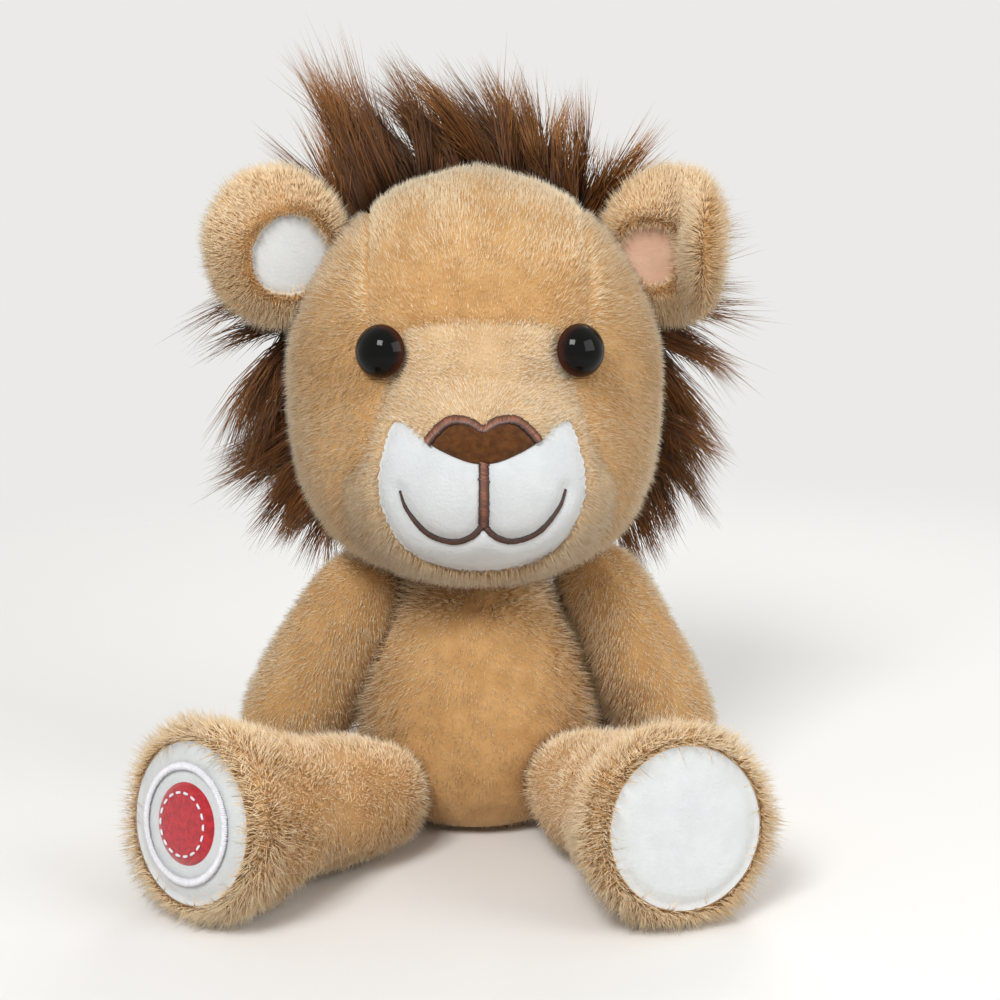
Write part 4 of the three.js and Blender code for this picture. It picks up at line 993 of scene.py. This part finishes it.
solid_places, solid_faces = [], []
for node in ("body_front_panel", "body_back_panel_left", "body_back_panel_right", "body_stuffing"):
    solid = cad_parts[node].data
    first = len(solid_places)
    solid_places += [tuple(vert.co) for vert in solid.vertices]
    solid_faces += [[first + i for i in polygon.vertices] for polygon in solid.polygons]
torso_tree = BVHTree.FromPolygons(solid_places, solid_faces)
side_seam_depth = 8 * mm
trunk = turned(drawn_in(body_outline, 0.9 * mm))
trunk_points = points_of(trunk.verts)
trunk_points[:, 2] = np.maximum(trunk_points[:, 2], 0.3 * mm)
put(trunk, inside_torso(trunk_points, 0.5 * mm))
for _ in range(3):
    bmesh.ops.smooth_vert(trunk, verts=trunk.verts, factor=0.5, use_axis_x=True, use_axis_y=True,
                          use_axis_z=False)
trunk_points = points_of(trunk.verts)
side_seam = swell(trunk_points[:, 1] - side_seam_depth, 1.4 * mm) * (np.abs(trunk_points[:, 0]) > 6 * mm)
back_seam = swell(trunk_points[:, 0], 1.3 * mm) * (trunk_points[:, 1] > side_seam_depth)
inward = -unit(trunk_points * (1, 1, 0))
put(trunk, trunk_points + inward * ((side_seam + back_seam) * 0.7 * mm)[:, None])
middles = centres_of(trunk)
labels = np.where(middles[:, 1] < side_seam_depth, 0, np.where(middles[:, 0] > 0, 1, 2))
body_panels = [
    ("body_front", "body_front_panel", "tan_plush", 17000),
    ("body_back_left", "body_back_panel_left", "tan_plush", 5300),
    ("body_back_right", "body_back_panel_right", "tan_plush", 5300),
]
body_roots = sewn_panels(trunk, labels, body_panels, "torso")
for seed, (name, (spots, normals)) in enumerate(body_roots.items()):
    height = spots[:, 2]
    keep = (height < 61 * mm) & (height > 0.8 * mm)
    nap = spots * (4, 0, 0) + (0, 0, -0.8)
    tone = 0.42 + 0.15 * np.clip((height - 20 * mm) / (30 * mm), -1, 1)
    loose = np.maximum(ramp(height, 46 * mm, 10 * mm), np.clip(np.abs(normals[:, 0]) * 2 - 1, 0, 1))
    length, lean = 2.9 + 3.0 * loose, 0.6 - 0.3 * loose
    pile(name, (spots, normals), nap, length * mm, 0.13 * mm, tone, "torso", "tan_plush", lean[:, None],
         400 + seed, keep)
trunk_filling = turned(drawn_in(body_outline, 4.2 * mm), 48)
put(trunk_filling, inside_torso(points_of(trunk_filling.verts), 4.2 * mm))
stuffed("body_stuffing", trunk_filling, "torso")

# The second colour is the thread's painted highlight.
seam_thread = thread_finish("seam_thread", (176, 122, 74), (204, 150, 98))
heights = np.linspace(15 * mm, 45 * mm, 13)
seam_back = np.interp(heights, body_outline[:80, 1], body_outline[:80, 0])
jitter = np.random.default_rng(9).normal(size=(2, len(heights))) * 0.3 * mm
seam_starts = np.stack((-1.7 * mm + jitter[0], seam_back - 0.6 * mm, heights - 0.6 * mm), 1)
seam_ends = np.stack((1.7 * mm + jitter[1], seam_back - 0.6 * mm, heights + 0.6 * mm), 1)
outward = np.tile((0, 1.0, 0), (len(heights), 1))
stitches("closing_seam_stitches", seam_starts, seam_ends, outward, 0.35 * mm, 0.6 * mm, seam_thread, "torso",
         "closing_seam_thread")
ring_turns = np.linspace(0, 2 * math.pi, 64, endpoint=False)
ring_radius = np.interp(58.2 * mm, body_outline[:81, 1], body_outline[:81, 0]) + 0.6 * mm


def ring_at(turn, height):
    """Places on the ring that joins the head to the neck."""
    return np.stack((ring_radius * np.cos(turn), ring_radius * np.sin(turn), 0 * turn + height), 1)


stitches("neck_ring_stitches", ring_at(ring_turns, 58.3 * mm), ring_at(ring_turns + 0.11, 59.2 * mm),
         ring_at(ring_turns, 0), 0.35 * mm, 0.1 * mm, seam_thread, "neck", "neck_ring_thread")

# Arms: two flattened tubes of plush, each of a front and a back panel, stuffed and sewn on at the
# shoulders, from where they hang outwards.
arm_length, arm_half_width, arm_half_thickness = 36 * mm, 13.2 * mm, 11.2 * mm
arm_shares = [(0, -0.33), (0.54, -0.28), (0.84, -0.1), (0.95, 0.2), (1, 0.55)]
arm_shares += [(0.95, 0.95), (0.72, 1.18), (0, 1.3)]
arm_outline = smooth_line(np.array(arm_shares) * (arm_half_width, arm_length), 9)
for side, place, lean, twist in (("left", (30.6, 1, 54), 27, 50), ("right", (-28.5, -1, 52), -28, 0)):
    lean, twist = math.radians(lean), math.radians(twist)
    down = np.array((math.sin(lean), 0, -math.cos(lean)))
    level = np.array((math.cos(lean), 0, math.sin(lean)))
    forth = np.array((0, -1.0, 0))
    wide = level * math.cos(twist) + forth * math.sin(twist)
    thick = forth * math.cos(twist) - level * math.sin(twist)
    to_arm = np.array((wide, thick, down))
    origin = np.array(place) * mm
    flatness = arm_half_thickness / arm_half_width
    arm = turned(drawn_in(arm_outline, 0.9 * mm), 96)
    own = points_of(arm.verts) * (1, flatness, 1)
    seam = swell(own[:, 1], 1.3 * mm) * (np.abs(own[:, 0]) > 3 * mm)
    own -= unit(own * (1, 1, 0)) * (seam * 0.7 * mm)[:, None]
    put(arm, own)
    labels = np.where(centres_of(arm)[:, 1] > 0, 0, 1)
    put(arm, own @ to_arm + origin)
    arm_panels = [
        (f"arm_{side}_front", f"arm_{side}_front_panel", "tan_plush", 8000),
        (f"arm_{side}_back", f"arm_{side}_back_panel", "tan_plush", 8000),
    ]
    arm_roots = sewn_panels(arm, labels, arm_panels, f"arm_{side}")
    for seed, (name, (spots, normals)) in enumerate(arm_roots.items()):
        along = (spots - origin) @ down
        nap = down + 0.5 * (spots - origin - along[:, None] * down) / arm_half_width
        facing = np.clip(-(normals @ level) * np.sign(origin[0]), 0, 1)
        tone = 0.6 + 0.1 * (along / arm_length)
        pile(name, (spots, normals), nap, (3.4 + 1.2 * facing) * mm, 0.13 * mm, tone, f"arm_{side}",
             "tan_plush", 0.46, 500 + seed)
    arm_filling = turned(drawn_in(arm_outline, 4.3 * mm), 40)
    put(arm_filling, (points_of(arm_filling.verts) * (1, flatness, 1)) @ to_arm + origin)
    stuffed(f"arm_{side}_stuffing", arm_filling, f"arm_{side}")

# Legs: each of an inner and an outer panel of longer, fuzzier plush and a white velour sole, stuffed,
# sewn on at the hips and stretched forward. The foot's pile stands out round the sole.
leg_length, hip_radius, thigh_radius = 56 * mm, 12.6 * mm, 15.2 * mm
foot_radius, sole_radius = 21 * mm, 16.4 * mm
leg_curve = [(0, -0.95 * hip_radius), (0.62 * hip_radius, -0.74 * hip_radius)]
leg_curve += [(0.95 * hip_radius, -0.25 * hip_radius)]
leg_curve += [(0.4 * hip_radius + 0.6 * thigh_radius, 0.12 * leg_length), (thigh_radius, 0.4 * leg_length)]
leg_curve += [(0.5 * (thigh_radius + foot_radius), 0.66 * leg_length), (foot_radius, 0.9 * leg_length)]
leg_curve += [(0.45 * foot_radius + 0.55 * sole_radius, 0.985 * leg_length), (sole_radius, leg_length)]
leg_curve += [(0.5 * sole_radius, leg_length + 0.56 * mm), (0, leg_length + 0.8 * mm)]
leg_outline = smooth_line(leg_curve, 9)
hip_height = 13.4 * mm
foot_rise = math.asin((foot_radius - 0.5 * mm - hip_height) / (leg_length * 0.9))
# Its root colour is painted shade between the hairs, and its tip colour a painted highlight.
fuzz_pile = pile_finish("leg_pile", (188, 147, 96), (210, 170, 117), (240, 214, 174), (253, 245, 226))
for side, x, y, splay in (("left", 24.5, -24, 21), ("right", -23, -30, -40)):
    splay = math.radians(splay)
    ahead = np.array((math.sin(splay), -math.cos(splay), 0))
    forward = ahead * math.cos(foot_rise) + (0, 0, math.sin(foot_rise))
    level = np.array((math.cos(splay), math.sin(splay), 0))
    upward = ahead * -math.sin(foot_rise) + (0, 0, math.cos(foot_rise))
    to_leg = np.array((level, upward, forward))
    origin = np.array((x * mm, y * mm, hip_height))
    sole_part = leg_outline[:, 1] > leg_length - 0.2 * mm
    leg = turned(drawn_in(leg_outline, np.where(sole_part, 0.8 * mm, 1.5 * mm)))
    own = points_of(leg.verts)
    radius = np.linalg.norm(own[:, :2], axis=1)
    rim = swell(np.hypot(radius - sole_radius + 0.6 * mm, own[:, 2] - leg_length + 0.8 * mm), 1.6 * mm)
    own[:, 2] -= rim * 0.9 * mm
    seam = swell(own[:, 0], 1.3 * mm) * (own[:, 2] < leg_length - 3 * mm)
    own -= unit(own * (1, 1, 0)) * (seam * 0.6 * mm)[:, None]
    put(leg, own)
    middles = centres_of(leg)
    from_axis = np.linalg.norm(middles[:, :2], axis=1)
    sole = (middles[:, 2] > leg_length - 3 * mm) & (from_axis < sole_radius + 0.65 * mm)
    outer = middles[:, 0] * (1 if side == "left" else -1) > 0
    labels = np.where(sole, 2, np.where(outer, 0, 1))
    placed = own @ to_leg + origin
    placed[:, 2] = np.maximum(placed[:, 2], 0.4 * mm)
    put(leg, placed)
    leg_panels = [
        (f"leg_{side}_outer", f"leg_{side}_outer_panel", "tan_plush", 15500),
        (f"leg_{side}_inner", f"leg_{side}_inner_panel", "tan_plush", 15500),
        (f"leg_{side}_sole", f"leg_{side}_sole", "white_velour", 5500),
    ]
    leg_roots = sewn_panels(leg, labels, leg_panels, f"leg_{side}")
    for seed, (name, (spots, normals)) in enumerate(leg_roots.items()):
        if name.endswith("sole"):
            pile(name, (spots, normals), wander(spots, 3 * mm, 640), 1.1 * mm, 0.12 * mm, 0.55, f"leg_{side}",
                 "white_velour", 0.6, 600 + seed)
            continue
        along = (spots - origin) @ forward
        radial = unit(spots - origin - along[:, None] * forward)
        near_rim = ramp(along, 0.8 * leg_length, 0.2 * leg_length)
        edge = ramp(along - leg_length, -2 * mm, 2 * mm)
        nap = forward + radial * (0.3 + 0.5 * near_rim - 1.4 * edge)[:, None]
        length = 4.2 + 2.6 * ramp(along, 0, leg_length) ** 2
        pile(name, (spots, normals), nap, length * mm, 0.14 * mm, 0.45 + 0.2 * near_rim, f"leg_{side}",
             "tan_plush", 0.62 - 0.24 * near_rim[:, None], 610 + seed, spots[:, 2] > 0.6 * mm, 0.1, 1 * mm,
             fuzz_pile)
    leg_filling = turned(drawn_in(leg_outline, 4.4 * mm), 48)
    filled = points_of(leg_filling.verts) @ to_leg + origin
    filled[:, 2] = np.maximum(filled[:, 2], 3.4 * mm)
    put(leg_filling, filled)
    stuffed(f"leg_{side}_stuffing", leg_filling, f"leg_{side}")

# Badge: a plain round patch of red velour on the right sole, with a dashed stitch, inside a stitched white
# ring. The right leg was made last, so its frame and its place are the ones in use.
badge_radius, dash_radius, dashes = 8.6 * mm, 6.6 * mm, 18


def on_sole(flat, lift):
    """Places on the right sole for points of its plane, lifted off it."""
    share = np.linalg.norm(flat, axis=1) / sole_radius
    height = leg_length + 0.8 * mm * (1 - share**2) - 0.2 * mm + lift
    return np.column_stack((flat, height)) @ to_leg + origin


def circle(radius, count):
    """Points evenly round a circle in the sole's plane."""
    turns = np.arange(count) / count * 2 * math.pi
    return np.array([(radius * math.cos(turn), radius * math.sin(turn)) for turn in turns])


def dash_at(turns):
    """Places of the dashes' ends, by their angles round the badge."""
    return on_sole(np.stack((np.cos(turns), np.sin(turns)), 1) * dash_radius, 1.05 * mm)


badge, badge_flat, badge_share = spread_disc(circle(badge_radius, 72), 8)
put(badge, on_sole(badge_flat, 1.0 * mm * np.sqrt(np.maximum(1 - badge_share**8, 0))))
bmesh.ops.recalc_face_normals(badge, faces=badge.faces)
red = Finish("red_velour", Roughness=0.8, Sheen_Weight=0.5, Specular_IOR_Level=0.25)
red.feed("Base Color", red.mixed(red.noise(900, 3).step(0.3, 0.7), (160, 24, 36), (190, 36, 48)))
red.bump(red.noise(4000, 2), 0.5, 0.0003)
piece("sole_badge", badge, red, "leg_right", "sole_patch")
# The second colour is the thread's painted highlight.
white_thread = thread_finish("white_badge_thread", (214, 214, 220), (238, 238, 242))
satin("sole_ring_satin", circle(12.0 * mm, 120), 1.7 * mm, 0.45 * mm, white_thread, "leg_right", on_sole,
      0.5 * mm, "sole_ring_stitch", closed=True)
dash_turns = np.arange(dashes) / dashes * 2 * math.pi
stitches("sole_badge_stitches", dash_at(dash_turns), dash_at(dash_turns + 0.22),
         np.tile(forward, (dashes, 1)), 0.3 * mm, 0.2 * mm, white_thread, "leg_right", None)

# Tail: a thin tube of plush that lies on the floor behind the body and curls to the left, with a tuft of
# the mane's hair at its end.
tail_radius = 3.6 * mm
tail_root = np.array((0, 30.37, 12)) * mm
tail_steps = [(0, 0, 0), (3.12, 14, -5.67), (13, 28, -8.1), (26, 36, -8.1)]
tail_way = smooth_line(np.array(tail_steps) * mm, 10) + tail_root


def along_path(form, path):
    """Bends a form that stands from 0 to 1 along z so that it follows a path."""
    places = points_of(form.verts)
    share = np.clip(places[:, 2], 0, 1)
    runs, at = np.arange(len(path)), share * (len(path) - 1)
    ahead = unit(sampled(np.gradient(path, axis=0), runs, at))
    side = unit(np.cross(ahead, (0, 0, 1.0)))
    up = np.cross(side, ahead)
    past = (places[:, 2] - share)[:, None] * ahead * tail_radius
    put(form, sampled(path, runs, at) + side * places[:, :1] + up * places[:, 1:2] + past)
    bmesh.ops.recalc_face_normals(form, faces=form.faces)


tail_outline = [(0, -1.1), (0.5, -1), (0.85, -0.6)]
tail_outline += [(1, share) for share in np.linspace(0, 1, 30)] + [(0.8, 1.3), (0, 1.6)]
tail_form = turned(np.array(tail_outline) * ((tail_radius - 1.2 * mm), 1), 28)
along_path(tail_form, tail_way)
tail_form.normal_update()
tail_grown = roots(tail_form, 3500, 700)
piece("tail_skin", tail_form, backings["tan_plush"], "tail", "tail_cloth")
nearest = np.argmin(np.linalg.norm(tail_grown[0][:, None] - tail_way[None], axis=2), axis=1)
pile("tail", tail_grown, np.gradient(tail_way, axis=0)[nearest], 2.4 * mm, 0.09 * mm, 0.42, "tail",
     "tan_plush", 0.6, 701)
tuft_way = unit(tail_way[-1] - tail_way[-2]) * (1, 1, 0)
tuft_shares = [(0, 0), (0.7, 0.05), (1, 0.35), (0.6, 0.75), (0, 1)]
tuft_outline = smooth_line(np.array(tuft_shares) * (4.6 * mm, 19 * mm), 8)
tuft_form = turned(tuft_outline, 28)
lay = Vector(tuft_way).to_track_quat("Z", "Y").to_matrix()
tuft_base = tail_way[-1] + (0, 0, 2.4 * mm)
put(tuft_form, np.array([lay @ vert.co for vert in tuft_form.verts]) + tuft_base)
tuft_grown = roots(tuft_form, 1800, 710)
piece("tail_tuft_core", tuft_form, backings["mane_brown"], "tail", "tail_tuft")
tuft_ways = unit(tuft_grown[1] * 0.35 + tuft_way)
locks("tail_tuft", tuft_grown, tuft_ways, 11 * mm, 0.15, 16, 0.15 * mm, 0.42, "tail", 711)
